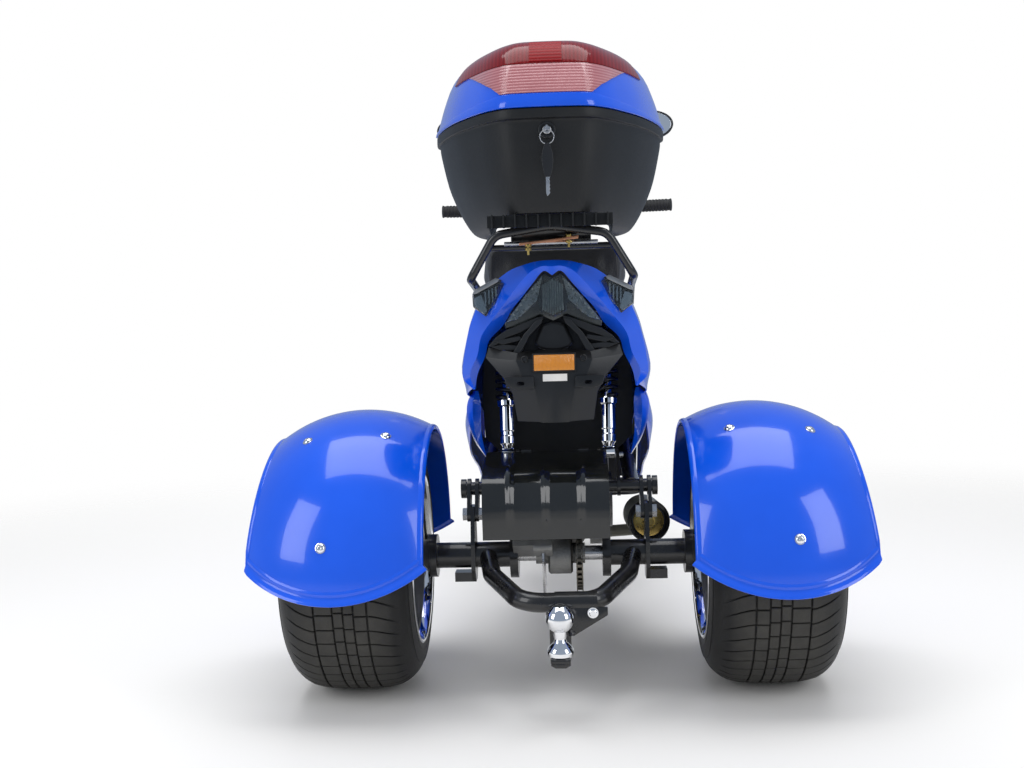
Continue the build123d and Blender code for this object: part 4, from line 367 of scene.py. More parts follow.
blue = finish("blue_gloss_plastic", (0.002, 0.086, 0.74), (0.004, 0.106, 0.86), 3.0, (0.16, 0.22), "ripple", 26.0,
              0.0005, Coat_Weight=0.7, Coat_Roughness=0.03, Specular_IOR_Level=0.35)
frame_black = finish("frame_black_paint", (0.006, 0.006, 0.007), (0.011, 0.011, 0.012), 14.0, (0.24, 0.34),
                     "ripple", 120.0, 0.0003, dust=0.10, Coat_Weight=0.5, Coat_Roughness=0.08,
                     Specular_IOR_Level=0.4)
guard_paint = finish("guard_gloss_paint", (0.006, 0.007, 0.0072), (0.010, 0.0115, 0.012), 8.0, (0.12, 0.18),
                     "ripple", 40.0, 0.0006, dust=0.05, Coat_Weight=0.6, Coat_Roughness=0.04,
                     Specular_IOR_Level=0.4)
black_plastic = finish("grained_black_plastic", (0.006, 0.0065, 0.007), (0.011, 0.0115, 0.012), 7.0, (0.42, 0.52),
                       "grain", 900.0, 0.0003, dust=0.08, Specular_IOR_Level=0.4)
black_satin = finish("satin_black_plastic", (0.006, 0.0068, 0.008), (0.011, 0.012, 0.014), 7.0, (0.28, 0.38),
                     "grain", 1500.0, 0.00015, dust=0.06)
chrome = finish("chrome_plate", (0.80, 0.81, 0.83), (0.90, 0.90, 0.91), 20.0, (0.03, 0.08), "ripple", 30.0,
                0.0002, Metallic=1.0)
steel = finish("zinc_steel", (0.45, 0.45, 0.46), (0.62, 0.62, 0.62), 60.0, (0.22, 0.36), "brushed", 40.0,
               0.0002, dust=0.15, Metallic=1.0)
alloy = finish("machined_alloy", (0.34, 0.34, 0.34), (0.48, 0.48, 0.47), 12.0, (0.28, 0.42), "brushed", 30.0,
               0.0002, dust=0.2, Metallic=1.0)
engine_alloy = finish("cast_alloy", (0.24, 0.24, 0.235), (0.36, 0.36, 0.35), 30.0, (0.42, 0.6), "grain", 420.0,
                      0.0006, dust=0.35, Metallic=0.85)
chain_steel = finish("oiled_chain_steel", (0.09, 0.08, 0.065), (0.26, 0.24, 0.2), 90.0, (0.25, 0.5), "ripple", 300.0,
                     0.0003, dust=0.3, Metallic=0.9)
exhaust_steel = finish("heat_paint", (0.10, 0.10, 0.08), (0.17, 0.165, 0.13), 16.0, (0.32, 0.48), "ripple", 90.0,
                       0.0004, dust=0.2, Metallic=0.55)
grip_rubber = finish("grip_rubber", (0.008, 0.008, 0.008), (0.014, 0.014, 0.014), 30.0, (0.6, 0.75), "grain", 1600.0,
                     0.0003)
seat_vinyl = finish("seat_vinyl", (0.009, 0.009, 0.010), (0.015, 0.015, 0.016), 9.0, (0.38, 0.52), "grain", 520.0,
                    0.0007, dust=0.06, Sheen_Weight=0.1)
copper = finish("copper_bar", (0.55, 0.22, 0.10), (0.78, 0.38, 0.22), 30.0, (0.2, 0.35), "brushed", 60.0, 0.0002,
                Metallic=1.0)
brass = finish("brass_stud", (0.50, 0.34, 0.10), (0.66, 0.48, 0.16), 40.0, (0.2, 0.35), "ripple", 90.0, 0.0002,
               Metallic=1.0)
mirror_glass = finish("mirror_glass", (0.85, 0.86, 0.88), (0.90, 0.91, 0.92), 4.0, (0.02, 0.03), "ripple", 8.0, 0.00005,
                      Metallic=1.0)
white_label = finish("white_label", (0.72, 0.72, 0.72), (0.82, 0.82, 0.81), 20.0, (0.4, 0.5), "ripple", 200.0, 0.00005)
lamp_dark = finish("lamp_housing", (0.012, 0.016, 0.016), (0.03, 0.036, 0.036), 40.0, (0.15, 0.3), "ripple", 60.0,
                   0.0003, Coat_Weight=0.6)
led_bead = finish("led_bead", (0.34, 0.37, 0.36), (0.52, 0.55, 0.54), 80.0, (0.15, 0.25), "ripple", 60.0, 0.0002,
                  Coat_Weight=1.0)
print("finishes so far:", len(bpy.data.materials))

# %% [markdown]
# Tyre rubber is nearly black on the sidewall and grey with road dust on the tread. The tread is
# simply what lies far from the axle, so its mask is the distance from the wheel's own line, which
# a Mapping node moves to the origin. Lenses are tinted glass with ribs or prisms pressed into them,
# and their colour carries painted highlight and shade in stripes that follow the ribs.

# %% Finishes for tyres and lenses


def tyre_finish(name, axle, tread_r):
    """Rubber whose outermost few millimetres are worn and dusty."""
    material, tree, shader, output = new_material(name)
    place = object_place(tree, move=(-axle[0], -axle[1], -axle[2]))
    flat = tree.nodes.new("ShaderNodeVectorMath")
    flat.operation = "MULTIPLY"
    flat.inputs[1].default_value = (1, 0, 1)
    tree.links.new(place, flat.inputs[0])
    reach = tree.nodes.new("ShaderNodeVectorMath")
    reach.operation = "LENGTH"
    tree.links.new(flat.outputs[0], reach.inputs[0])
    outer = map_range(tree, reach.outputs["Value"], tread_r - 0.014, tread_r - 0.001)
    patchy = map_range(tree, noise(tree, place, 34.0, 6.0, 0.7), 0.25, 0.75, 0.45, 1.0)
    worn = math_node(tree, "MULTIPLY", outer, patchy)
    tone = placed_group(tree, tone_group, Dark=(0.0035, 0.0035, 0.004, 1), Light=(0.008, 0.008, 0.0085, 1), Scale=16.0)
    base = mix_colour(tree, worn, tone.outputs["Color"], (0.062, 0.060, 0.055, 1))
    tree.links.new(base, shader.inputs["Base Color"])
    tree.links.new(map_range(tree, worn, 0.0, 1.0, 0.5, 0.85), shader.inputs["Roughness"])
    raised = placed_group(tree, grain_group, Scale=700.0)
    bump = tree.nodes.new("ShaderNodeBump")
    bump.inputs["Strength"].default_value = 0.5
    bump.inputs["Distance"].default_value = 0.0004
    tree.links.new(raised.outputs["Height"], bump.inputs["Height"])
    tree.links.new(bump.outputs["Normal"], shader.inputs["Normal"])
    shader.inputs["Specular IOR Level"].default_value = 0.35
    return material


def ribbed_lens(name, dark, light, axis, ribs_per_metre, depth, rough=0.08, **fixed):
    """Tinted moulding with fine ribs across one axis (0, 1 or 2); its colour is striped in step with the ribs as
    painted highlight and shade.
    """
    material, tree, shader, output = new_material(name)
    place = object_place(tree)
    parts = tree.nodes.new("ShaderNodeSeparateXYZ")
    tree.links.new(place, parts.inputs[0])
    turns = math_node(tree, "MULTIPLY", parts.outputs[axis], ribs_per_metre * 2 * math.pi)
    wave = map_range(tree, math_node(tree, "SINE", turns), -1.0, 1.0)
    tone = placed_group(tree, tone_group, Dark=(*dark, 1), Light=(*light, 1), Scale=9.0)
    # Painted highlight and shade: the colour follows the rib wave, lighter on one half of each rib, mixed with random
    # tone.
    shade = math_node(tree, "ADD", math_node(tree, "MULTIPLY", wave, 0.55), math_node(tree, "MULTIPLY", tone.outputs["Mask"], 0.45))
    tree.links.new(mix_colour(tree, shade, (*dark, 1), (*light, 1)), shader.inputs["Base Color"])
    tree.links.new(map_range(tree, tone.outputs["Mask"], 0.0, 1.0, rough, rough + 0.05), shader.inputs["Roughness"])
    bump = tree.nodes.new("ShaderNodeBump")
    bump.inputs["Strength"].default_value = 0.7
    bump.inputs["Distance"].default_value = depth
    tree.links.new(wave, bump.inputs["Height"])
    tree.links.new(bump.outputs["Normal"], shader.inputs["Normal"])
    for label, value in fixed.items():
        shader.inputs[label.replace("_", " ")].default_value = value
    return material


red_band = ribbed_lens("red_lens_band", (0.13, 0.004, 0.006), (0.22, 0.010, 0.013), 1, 150.0, 0.0001, 0.12,
                       Specular_IOR_Level=0.25)
red_pale = ribbed_lens("red_lens_pale", (0.33, 0.09, 0.105), (0.56, 0.25, 0.27), 2, 190.0, 0.0008, Coat_Weight=1.0)
red_dark = ribbed_lens("red_lens_dark", (0.16, 0.002, 0.004), (0.30, 0.004, 0.008), 2, 160.0, 0.0004, 0.4,
                       Specular_IOR_Level=0.15)
amber = ribbed_lens("amber_prisms", (0.52, 0.17, 0.006), (0.74, 0.28, 0.012), 1, 420.0, 0.0005, Coat_Weight=1.0)
clear_lens = finish("clear_lens", (0.86, 0.88, 0.90), (0.92, 0.93, 0.94), 5.0, (0.02, 0.04), "ripple", 40.0, 0.0001,
                    Transmission_Weight=1.0, IOR=1.45)
smoke_lens = finish("smoked_lens", (0.34, 0.38, 0.39), (0.42, 0.46, 0.47), 5.0, (0.02, 0.05), "ripple", 40.0, 0.0001,
                    Transmission_Weight=1.0, IOR=1.45)

rear_axle = Vector((rear_axle_x, 0, rear_axle_z))
front_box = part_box("front_tyre")
front_axle = (front_box[0] + front_box[1]) / 2
rear_tyre_rubber = tyre_finish("rear_tyre_rubber", rear_axle, 0.254)
front_tyre_rubber = tyre_finish("front_tyre_rubber", front_axle, 0.243)
print("axles", [round(v, 3) for v in rear_axle], [round(v, 3) for v in front_axle])

# %% [markdown]
# Every CAD node keeps its mesh and gets its finish in its material slots. The table says which
# nodes wear which finish; the ones that a new piece replaces are dressed too, so that nothing is
# left bare if a piece is taken out.

# %% Finishes on the CAD nodes
worn_by = {
    "blue": ["tail_fairing", "side_skirts", "front_apron", "rear_fender_left", "rear_fender_right", "front_fender",
             "case_lid"],
    "frame_black": ["frame", "axle_housing", "swing_frame", "hitch_hoop", "hitch_plate", "shock_springs", "rear_rack",
                    "fender_stay_left", "fender_stay_right", "fork", "handlebar", "brake_levers"],
    "guard_paint": ["rear_guard"],
    "black_plastic": ["case_bottom", "floorboard", "leg_shield", "seat_front_cover", "seat_bucket",
                      "seat_base"],
    "black_satin": ["plate_carrier", "mirrors", "headset_cowl"],
    "chrome": ["tow_ball", "shocks", "fender_bolts"],
    "steel": ["carriage_bolts", "case_key", "front_brake_disc", "rear_brake_disc", "rear_hub_left",
              "rear_hub_right"],
    "alloy": ["front_rim", "rear_rim_left", "rear_rim_right"],
    "engine_alloy": ["engine", "differential", "rear_caliper", "front_caliper"],
    "chain_steel": ["drive_chain", "rear_sprocket"],
    "exhaust_steel": ["exhaust"],
    "grip_rubber": ["grips"],
    "seat_vinyl": ["seat_cushion"],
    "red_band": ["case_lens"],
    "lamp_dark": ["tail_light", "turn_signals"],
    "clear_lens": ["headlight"],
    "amber": ["reflector"],
    "rear_tyre_rubber": ["rear_tyre_left", "rear_tyre_right"],
    "front_tyre_rubber": ["front_tyre"],
}
finishes = {
    "blue": blue, "frame_black": frame_black, "guard_paint": guard_paint, "black_plastic": black_plastic,
    "black_satin": black_satin, "chrome": chrome, "steel": steel, "alloy": alloy, "engine_alloy": engine_alloy,
    "chain_steel": chain_steel, "exhaust_steel": exhaust_steel, "grip_rubber": grip_rubber, "seat_vinyl": seat_vinyl,
    "red_band": red_band, "lamp_dark": lamp_dark, "clear_lens": clear_lens, "amber": amber,
    "rear_tyre_rubber": rear_tyre_rubber, "front_tyre_rubber": front_tyre_rubber,
}
for worn, names in worn_by.items():
    for node_name in names:
        for material_slot in nodes[node_name].material_slots:
            material_slot.material = finishes[worn]
undressed = set(nodes) - {node_name for names in worn_by.values() for node_name in names}
print("nodes without a finish:", sorted(undressed))

# %% [markdown]
# New pieces are modelled as by hand: a primitive, edit-mode operators, then modifiers that are
# applied. A few helpers keep each step short: one starts clean, one makes a single piece active, one
# finishes a piece with its finish, body and smooth shading.

# %% Modelling helpers


def fresh():
    """Nothing selected, in object mode."""
    if bpy.context.object and bpy.context.object.mode != "OBJECT":
        bpy.ops.object.mode_set(mode="OBJECT")
    bpy.ops.object.select_all(action="DESELECT")


def alone(piece):
    """Only this piece selected and active."""
    fresh()
    piece.select_set(True)
    bpy.context.view_layer.objects.active = piece


def piece_from(name, points, edges=(), faces=()):
    """A piece from points, edges and faces."""
    mesh = bpy.data.meshes.new(name)
    mesh.from_pydata([tuple(point) for point in points], edges, faces)
    piece = bpy.data.objects.new(name, mesh)
    bpy.context.scene.collection.objects.link(piece)
    return piece


def with_modifier(piece, kind, **settings):
    """Add a modifier, set it and apply it."""
    alone(piece)
    modifier = piece.modifiers.new(kind.lower(), kind)
    for label, value in settings.items():
        setattr(modifier, label, value)
    if kind == "SUBSURF":
        modifier.render_levels = modifier.levels
    bpy.ops.object.modifier_apply(modifier=modifier.name)
    return piece


def outward(piece):
    """Merge doubles and turn all faces outwards."""
    alone(piece)
    bpy.ops.object.mode_set(mode="EDIT")
    bpy.ops.mesh.select_all(action="SELECT")
    bpy.ops.mesh.remove_doubles(threshold=0.00002)
    bpy.ops.mesh.normals_make_consistent(inside=False)
    bpy.ops.object.mode_set(mode="OBJECT")
    return piece


def dressed(piece, material, body, angle=32.0):
    """Place into the mesh, smooth shading, finish, body and slot."""
    alone(piece)
    bpy.ops.object.transform_apply(location=True, rotation=True, scale=True)
    bpy.ops.object.shade_smooth_by_angle(angle=math.radians(angle))
    piece.data.materials.clear()
    piece.data.materials.append(material)
    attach(piece, body)
    return piece


def joined(name, pieces):
    """Several pieces made one."""
    alone(pieces[0])
    for piece in pieces[1:]:
        piece.select_set(True)
    bpy.ops.object.join()
    pieces[0].name = name
    pieces[0].data.name = name
    return pieces[0]


def copied(piece, name, matrix):
    """A copy with its own mesh, moved in its mesh; a mirrored one is turned right side out."""
    twin = piece.copy()
    twin.data = piece.data.copy()
    twin.name = name
    bpy.context.scene.collection.objects.link(twin)
    twin.data.transform(matrix)
    if matrix.determinant() < 0:
        twin.data.flip_normals()
    return twin


def turned(name, profile, start, direction, steps=32):
    """A closed turned piece: profile is (distance along, radius) pairs, its ends on the axis."""
    direction = Vector(direction).normalized()
    side = direction.orthogonal().normalized()
    points = [Vector(start) + direction * along + side * radius for along, radius in profile]
    piece = piece_from(name, points, [(i, i + 1) for i in range(len(points) - 1)])
    alone(piece)
    bpy.ops.object.mode_set(mode="EDIT")
    bpy.ops.mesh.select_all(action="SELECT")
    bpy.ops.mesh.spin(steps=steps, angle=2 * math.pi, center=tuple(start), axis=tuple(direction))
    bpy.ops.object.mode_set(mode="OBJECT")
    return outward(piece)


def slab(name, outline, depth, bevel=0.0, segments=2):
    """An outline of points in space, extruded by a vector, with rounded edges."""
    piece = piece_from(name, outline, (), [tuple(range(len(outline)))])
    alone(piece)
    bpy.ops.object.mode_set(mode="EDIT")
    bpy.ops.mesh.select_all(action="SELECT")
    bpy.ops.mesh.extrude_region_move(TRANSFORM_OT_translate={"value": tuple(depth)})
    bpy.ops.object.mode_set(mode="OBJECT")
    outward(piece)
    if bevel:
        with_modifier(piece, "BEVEL", width=bevel, segments=segments, limit_method="ANGLE", angle_limit=math.radians(25))
    return piece


def round_bar(name, points, radius, smooth=True, sides=6):
    """A bar of even thickness along points."""
    data = bpy.data.curves.new(name, "CURVE")
    data.dimensions = "3D"
    data.bevel_depth = radius
    data.bevel_resolution = sides // 2
    data.use_fill_caps = True
    spline = data.splines.new("NURBS" if smooth else "POLY")
    spline.points.add(len(points) - 1)
    for point, place in zip(spline.points, points):
        point.co = (*place, 1)
    if smooth:
        spline.order_u = 3
        spline.use_endpoint_u = True
        data.resolution_u = 4
    bar = bpy.data.objects.new(name, data)
    bpy.context.scene.collection.objects.link(bar)
    alone(bar)
    bpy.ops.object.convert(target="MESH")
    return outward(bpy.context.active_object)


def mirrored_copy(piece, name):
    """The same piece on the trike's other side."""
    return copied(piece, name, Matrix.Scale(-1, 4, (0, 1, 0)))


def triangles(piece):
    return sum(len(face.vertices) - 2 for face in piece.data.polygons)


# %% [markdown]
# The rear tyres are wide and low. Seen from behind, the tread is what shows most: four grooves
# run round it, cross grooves wave from block to block, and curved grooves cut the shoulders. One
# pitch of tread is modelled as bent patches that are thickened and rounded, then spun round the
# carcass as copies; a drawn texture would not give the silhouette its notches.

# %% Tyres


def smooth_line(points, steps=6):
    """Points along a smooth line through the given ones (Catmull-Rom)."""
    places = [Vector(point) for point in points]
    ends = [places[0] * 2 - places[1], *places, places[-1] * 2 - places[-2]]
    line = []
    for a, b, c, d in zip(ends, ends[1:], ends[2:], ends[3:]):
        for step in range(steps):
            u = step / steps
            line.append(0.5 * (2 * b + (c - a) * u + (2 * a - 5 * b + 4 * c - d) * u ** 2 + (3 * b - a - 3 * c + d) * u ** 3))
    line.append(places[-1])
    return line


def section_walker(half_section):
    """A function that gives the point and the outward direction at a distance from the crown."""
    half = smooth_line([(y, r, 0) for y, r in half_section])
    lengths = [0.0]
    for a, b in zip(half, half[1:]):
        lengths.append(lengths[-1] + (b - a).length)

    def walk(distance):
        side = -1 if distance < 0 else 1
        distance = min(abs(distance), lengths[-1] * 0.999)
        index = next(i for i, length in enumerate(lengths) if length > distance) - 1
        share = (distance - lengths[index]) / (lengths[index + 1] - lengths[index])
        a, b = half[index], half[index + 1]
        place = a.lerp(b, share)
        run = (b - a).normalized()
        return side * place.x, place.y, side * -run.y * -1, run.x

    return walk, half


def tread_patch(name, walk, outer_r, across, along, sweep, lift, cells):
    """A patch of tread: across and along in metres, sweep shifts it along by its distance across."""
    fresh()
    bpy.ops.mesh.primitive_grid_add(x_subdivisions=cells[0], y_subdivisions=cells[1], size=1)
    patch = bpy.context.active_object
    patch.name = name
    for vertex in patch.data.vertices:
        u, v = vertex.co.x + 0.5, vertex.co.y + 0.5
        distance = across[0] + u * (across[1] - across[0])
        y, r, out_y, out_r = walk(distance)
        height = lift(abs(distance))
        angle = (along[0] + v * (along[1] - along[0]) + sweep(distance)) / outer_r
        y, r = y + out_y * height, r + out_r * height
        vertex.co = (math.sin(angle) * r, y, math.cos(angle) * r)
    return patch


def make_tyre(name, axle, half_section, outer_r, pitches, columns, groove, shoulder, sweep_l, lift_table):
    """A carcass turned from its section, with one pitch of tread copied round it."""
    walk, half = section_walker(half_section)
    profile = [(-point.x, point.y) for point in reversed(half)] + [(point.x, point.y) for point in half[1:]]
    carcass = piece_from(name, [(0, y, r) for y, r in profile], [(i, i + 1) for i in range(len(profile) - 1)])
    alone(carcass)
    bpy.ops.object.mode_set(mode="EDIT")
    bpy.ops.mesh.select_all(action="SELECT")
    bpy.ops.mesh.spin(steps=128, angle=2 * math.pi, center=(0, 0, 0), axis=(0, 1, 0))
    bpy.ops.object.mode_set(mode="OBJECT")
    outward(carcass)

    def lift(distance):
        for (a, h_a), (b, h_b) in zip(lift_table, lift_table[1:]):
            if distance <= b:
                return h_a + (h_b - h_a) * max(distance - a, 0) / (b - a)
        return lift_table[-1][1]

    pitch = 2 * math.pi * outer_r / pitches
    patches = []
    for number_across, (low, high, shift) in enumerate(columns):
        patches.append(tread_patch(f"{name}_block_{number_across}", walk, outer_r, (low, high),
                                   (shift, shift + pitch - groove), lambda d: 0.0, lift, (2, 2)))
    for side in (1, -1):
        def sweep(distance):
            reach = max(abs(distance) - shoulder[0], 0) / (shoulder[1] - shoulder[0])
            return side * sweep_l * reach ** 1.5
        patches.append(tread_patch(f"{name}_shoulder_{side + 1}", walk, outer_r,
                                   (side * shoulder[0], side * shoulder[1]), (0.0, pitch - groove), sweep, lift, (10, 2)))
    tread = joined(f"{name}_tread", patches)
    for face in tread.data.polygons:
        if face.normal.x * face.center.x + face.normal.z * face.center.z < 0:
            face.flip()
    with_modifier(tread, "SOLIDIFY", thickness=lift_table[0][1] + 0.001, offset=-1.0)
    with_modifier(tread, "BEVEL", width=0.0009, segments=1, limit_method="ANGLE", angle_limit=math.radians(50))
    outward(tread)
    alone(tread)
    bpy.ops.object.mode_set(mode="EDIT")
    bpy.ops.mesh.select_all(action="SELECT")
    bpy.ops.mesh.spin(steps=pitches - 1, angle=2 * math.pi * (pitches - 1) / pitches, dupli=True,
                      center=(0, 0, 0), axis=(0, 1, 0))
    bpy.ops.object.mode_set(mode="OBJECT")
    tyre = joined(name, [carcass, tread])
    tyre.data.transform(Matrix.Translation(axle))
    return tyre


# Columns of a section: distance from the middle, radius, in metres
rear_section = (
    (0.0, 0.2475), (0.040, 0.2468), (0.066, 0.2446), (0.088, 0.2400), (0.104, 0.2315), (0.116, 0.216),
    (0.1220, 0.196), (0.1238, 0.180), (0.1232, 0.170), (0.1205, 0.1625),
)
# Columns: from and to, across the tread, and shift along it
rear_columns = (
    (-0.0470, -0.0255, 0.0), (-0.0225, -0.0065, 0.0050), (-0.0035, 0.0125, 0.0080), (0.0155, 0.0470, 0.0030),
)
rear_lift = ((0.0, 0.0062), (0.060, 0.0060), (0.085, 0.0046), (0.104, 0.0016), (0.12, 0.0010))
rear_y = (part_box("rear_tyre_left")[0].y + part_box("rear_tyre_left")[1].y) / 2
tyre_left = make_tyre("tyre_rear_left", Vector((rear_axle.x, rear_y, rear_axle.z)), rear_section, 0.2537, 52,
                      rear_columns, 0.0030, (0.0505, 0.108), 0.024, rear_lift)
for ring_r in (0.182, 0.206):
    ring_y = 0.1232 if ring_r < 0.2 else 0.1195
    for side in (1, -1):
        fresh()
        bpy.ops.mesh.primitive_torus_add(major_radius=ring_r, minor_radius=0.0016, major_segments=96, minor_segments=6,
                                         location=(rear_axle.x, rear_y + side * ring_y, rear_axle.z),
                                         rotation=(math.pi / 2, 0, 0))
        ring = bpy.context.active_object
        alone(ring)
        bpy.ops.object.transform_apply(location=True, rotation=True, scale=True)
        tyre_left = joined("tyre_rear_left", [tyre_left, ring])
tyre_right = mirrored_copy(tyre_left, "tyre_rear_right")
dressed(tyre_left, rear_tyre_rubber, "rear_wheel_left")
dressed(tyre_right, rear_tyre_rubber, "rear_wheel_right")
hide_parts("rear_tyre_left")
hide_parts("rear_tyre_right")
print("rear tyre triangles:", triangles(tyre_left))

front_section = (
    (0.0, 0.2375), (0.020, 0.2362), (0.036, 0.2310), (0.048, 0.2225), (0.0575, 0.210), (0.0620, 0.196),
    (0.0600, 0.184), (0.054, 0.1745), (0.050, 0.1728),
)
front_columns = ((-0.0165, -0.0065, 0.0), (-0.0045, 0.0045, 0.004), (0.0065, 0.0165, 0.0))
front_lift = ((0.0, 0.0052), (0.030, 0.0050), (0.045, 0.0032), (0.055, 0.0012), (0.07, 0.0008))
front_tyre = make_tyre("tyre_front", front_axle, front_section, 0.2427, 54, front_columns, 0.0030, (0.0190, 0.058),
                       0.014, front_lift)
dressed(front_tyre, front_tyre_rubber, "front_wheel")
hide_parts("front_tyre")
print("front tyre triangles:", triangles(front_tyre))

# %% [markdown]
# The rear fenders are moulded in one piece. What the eye reads is the edge: the ends are flared
# out with a bead just inside the flare, and the sides are rolled. Each lip is a strip whose
# section follows the edge of the real surface, so that it turns with it.

# %% Fender lips and dome bolts
fender_mid_y, fender_crown_r, fender_core_r = 0.378, 0.267, 0.025
fender_in_y, fender_out_y, fender_tip_z, fender_dip_y, fender_dip_z = 0.243, 0.5725, 0.285, 0.398, 0.233
fender_apex = (0.545, 0.488)


def fender_r(y):
    """The fender's distance from the axle's line."""
    return fender_core_r + math.sqrt(fender_crown_r ** 2 - (y - fender_mid_y) ** 2)


def fender_point(y, z, fore):
    """A point on the fender's outer face, behind the axle or before it."""
    up_z = z - rear_axle.z
    return Vector((rear_axle.x + fore * math.sqrt(max(fender_r(y) ** 2 - up_z ** 2, 0)), y, z))


def fender_normal(point):
    """The outward direction of the fender's face at a point."""
    slope = -(point.y - fender_mid_y) / math.sqrt(fender_crown_r ** 2 - (point.y - fender_mid_y) ** 2)
    spoke = Vector((point.x - rear_axle.x, 0, point.z - rear_axle.z)).normalized()
    return (spoke - Vector((0, slope, 0))).normalized()


def arc_height(y, first, middle, last):
    """The height at y on the circle through three (y, z) points, on its lower side."""
    (ay, az), (by, bz), (cy, cz) = first, middle, last
    d = 2 * (ay * (bz - cz) + by * (cz - az) + cy * (az - bz))
    centre_y = ((ay ** 2 + az ** 2) * (bz - cz) + (by ** 2 + bz ** 2) * (cz - az) + (cy ** 2 + cz ** 2) * (az - bz)) / d
    centre_z = ((ay ** 2 + az ** 2) * (cy - by) + (by ** 2 + bz ** 2) * (ay - cy) + (cy ** 2 + cz ** 2) * (by - ay)) / d
    return centre_z - math.sqrt((ay - centre_y) ** 2 + (az - centre_z) ** 2 - (y - centre_y) ** 2)


def end_edge(fore, steps=40):
    """Points along the fender's lower end, from the inner side to the outer one."""
    line = []
    for step in range(steps + 1):
        y = fender_in_y + (fender_out_y - fender_in_y) * step / steps
        z = arc_height(y, (fender_in_y, fender_tip_z), (fender_dip_y, fender_dip_z), (fender_out_y, fender_tip_z))
        line.append(fender_point(y, z, fore))
    return line


def side_edge(outer, steps=30):
    """Points over the top along one side, from the rear end to the front one."""
    line = []
    for fore in (-1, 1):
        half = []
        for step in range(steps + 1):
            share = math.sin(step / steps * math.pi / 2)
            if outer:
                y = fender_out_y + (fender_apex[0] - fender_out_y) * share
                z = fender_tip_z + (rear_axle.z + fender_r(fender_apex[0]) - fender_tip_z) * share
            else:
                y = fender_in_y
                z = fender_tip_z + (rear_axle.z + fender_r(y) - fender_tip_z) * share
            half.append(fender_point(y, z, fore))
        line += half if fore < 0 else half[-2::-1]
    return line


def edge_strip(name, line, section, away, thick):
    """A strip along an edge: section holds distances beyond the edge and heights over the face."""
    points, faces = [], []
    for index, point in enumerate(line):
        run = line[min(index + 1, len(line) - 1)] - line[max(index - 1, 0)]
        normal = fender_normal(point)
        beyond = run.cross(normal).normalized()
        if beyond.dot(away(point)) < 0:
            beyond.negate()
        for reach, height in section:
            place = point + beyond * reach + normal * height
            place.y = min(place.y, fender_out_y - 0.0004)
            points.append(place)
    wide = len(section)
    for index in range(len(line) - 1):
        for column in range(wide - 1):
            corner = index * wide + column
            faces.append((corner, corner + 1, corner + wide + 1, corner + wide))
    strip = piece_from(name, points, (), faces)
    outward(strip)
    with_modifier(strip, "SOLIDIFY", thickness=thick, offset=-1.0)
    return outward(strip)


flare_section = (
    (-0.0150, -0.0006), (-0.0125, 0.0014), (-0.0095, 0.0022), (-0.0065, 0.0014), (-0.0035, 0.0014), (-0.0005, 0.0036),
    (0.0025, 0.0072), (0.0055, 0.0098), (0.0082, 0.0104), (0.0098, 0.0086),
)
roll_section = ((-0.0100, -0.0006), (-0.0075, 0.0016), (-0.0040, 0.0030), (-0.0005, 0.0030), (0.0020, 0.0012), (0.0026, -0.0020))
lips = [edge_strip(f"end_lip_{fore}", end_edge(fore), flare_section, lambda point: Vector((0, 0, -1)), 0.0022)
        for fore in (-1, 1)]
lips.append(edge_strip("inner_roll", side_edge(False), roll_section, lambda point: Vector((0, -1, 0)), 0.0022))
lips.append(edge_strip("outer_roll", side_edge(True), roll_section, lambda point: Vector((0, 1, 0)), 0.0022))
lip_left = joined("fender_lip_left", lips)
lip_right = mirrored_copy(lip_left, "fender_lip_right")
for lip in (lip_left, lip_right):
    dressed(lip, blue, "chassis", 40)
print("lip triangles:", triangles(lip_left))

dome_profile = (
    (-0.001, 0.0), (-0.001, 0.0098), (0.0012, 0.0098), (0.0015, 0.0084), (0.0030, 0.0078), (0.0046, 0.0058),
    (0.0053, 0.0034), (0.0044, 0.0028), (0.0040, 0.0),
)
stay_bolts = []
for angle, y in ((28.0, 0.318), (28.0, 0.466), (76.0, 0.418)):
    lean = math.radians(angle)
    spot = Vector((rear_axle.x - math.sin(lean) * fender_r(y), y, rear_axle.z + math.cos(lean) * fender_r(y)))
    bolt = turned("dome_bolt", dome_profile, spot, fender_normal(spot), 24)
    stay_bolts += [bolt, mirrored_copy(bolt, "dome_bolt_right")]
dome_bolts = joined("dome_bolts", stay_bolts)
dressed(dome_bolts, chrome, "chassis")
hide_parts("fender_bolts")

# %% [markdown]
# The top case is a blown and moulded box. Its walls are one smooth skin, so both halves are built
# from rings with rounded corners and a bowed rear, and made into shells. The lid carries a raised
# rim band, and the tinted lens is the same skin again, a little larger, cut to its outline.

# %% Top case
case_half_l, case_half_w = 0.206, 0.2185
case_centre_x = rear_axle.x - 0.126
case_floor_z, case_seam_z, case_top_z = 0.873, 1.070, 1.208
case_lean = 0.2 * 0.412
# Columns: height share, length share, width share
bottom_rows = (
    (0.000, 0.720, 0.590), (0.020, 0.748, 0.650), (0.060, 0.782, 0.702), (0.160, 0.830, 0.765), (0.315, 0.870, 0.835),
    (0.520, 0.915, 0.905), (0.820, 0.955, 0.965), (0.900, 0.968, 0.972), (0.910, 0.990, 0.990), (0.922, 1.000, 1.000),
    (0.985, 1.000, 1.000), (0.996, 0.996, 0.996),
)
lid_rows = (
    (0.006, 0.994, 0.994), (0.025, 1.000, 1.000), (0.120, 0.992, 0.980), (0.400, 0.945, 0.925), (0.690, 0.870, 0.845),
    (0.870, 0.760, 0.725), (0.955, 0.600, 0.560), (0.990, 0.400, 0.370), (1.000, 0.140, 0.120),
)
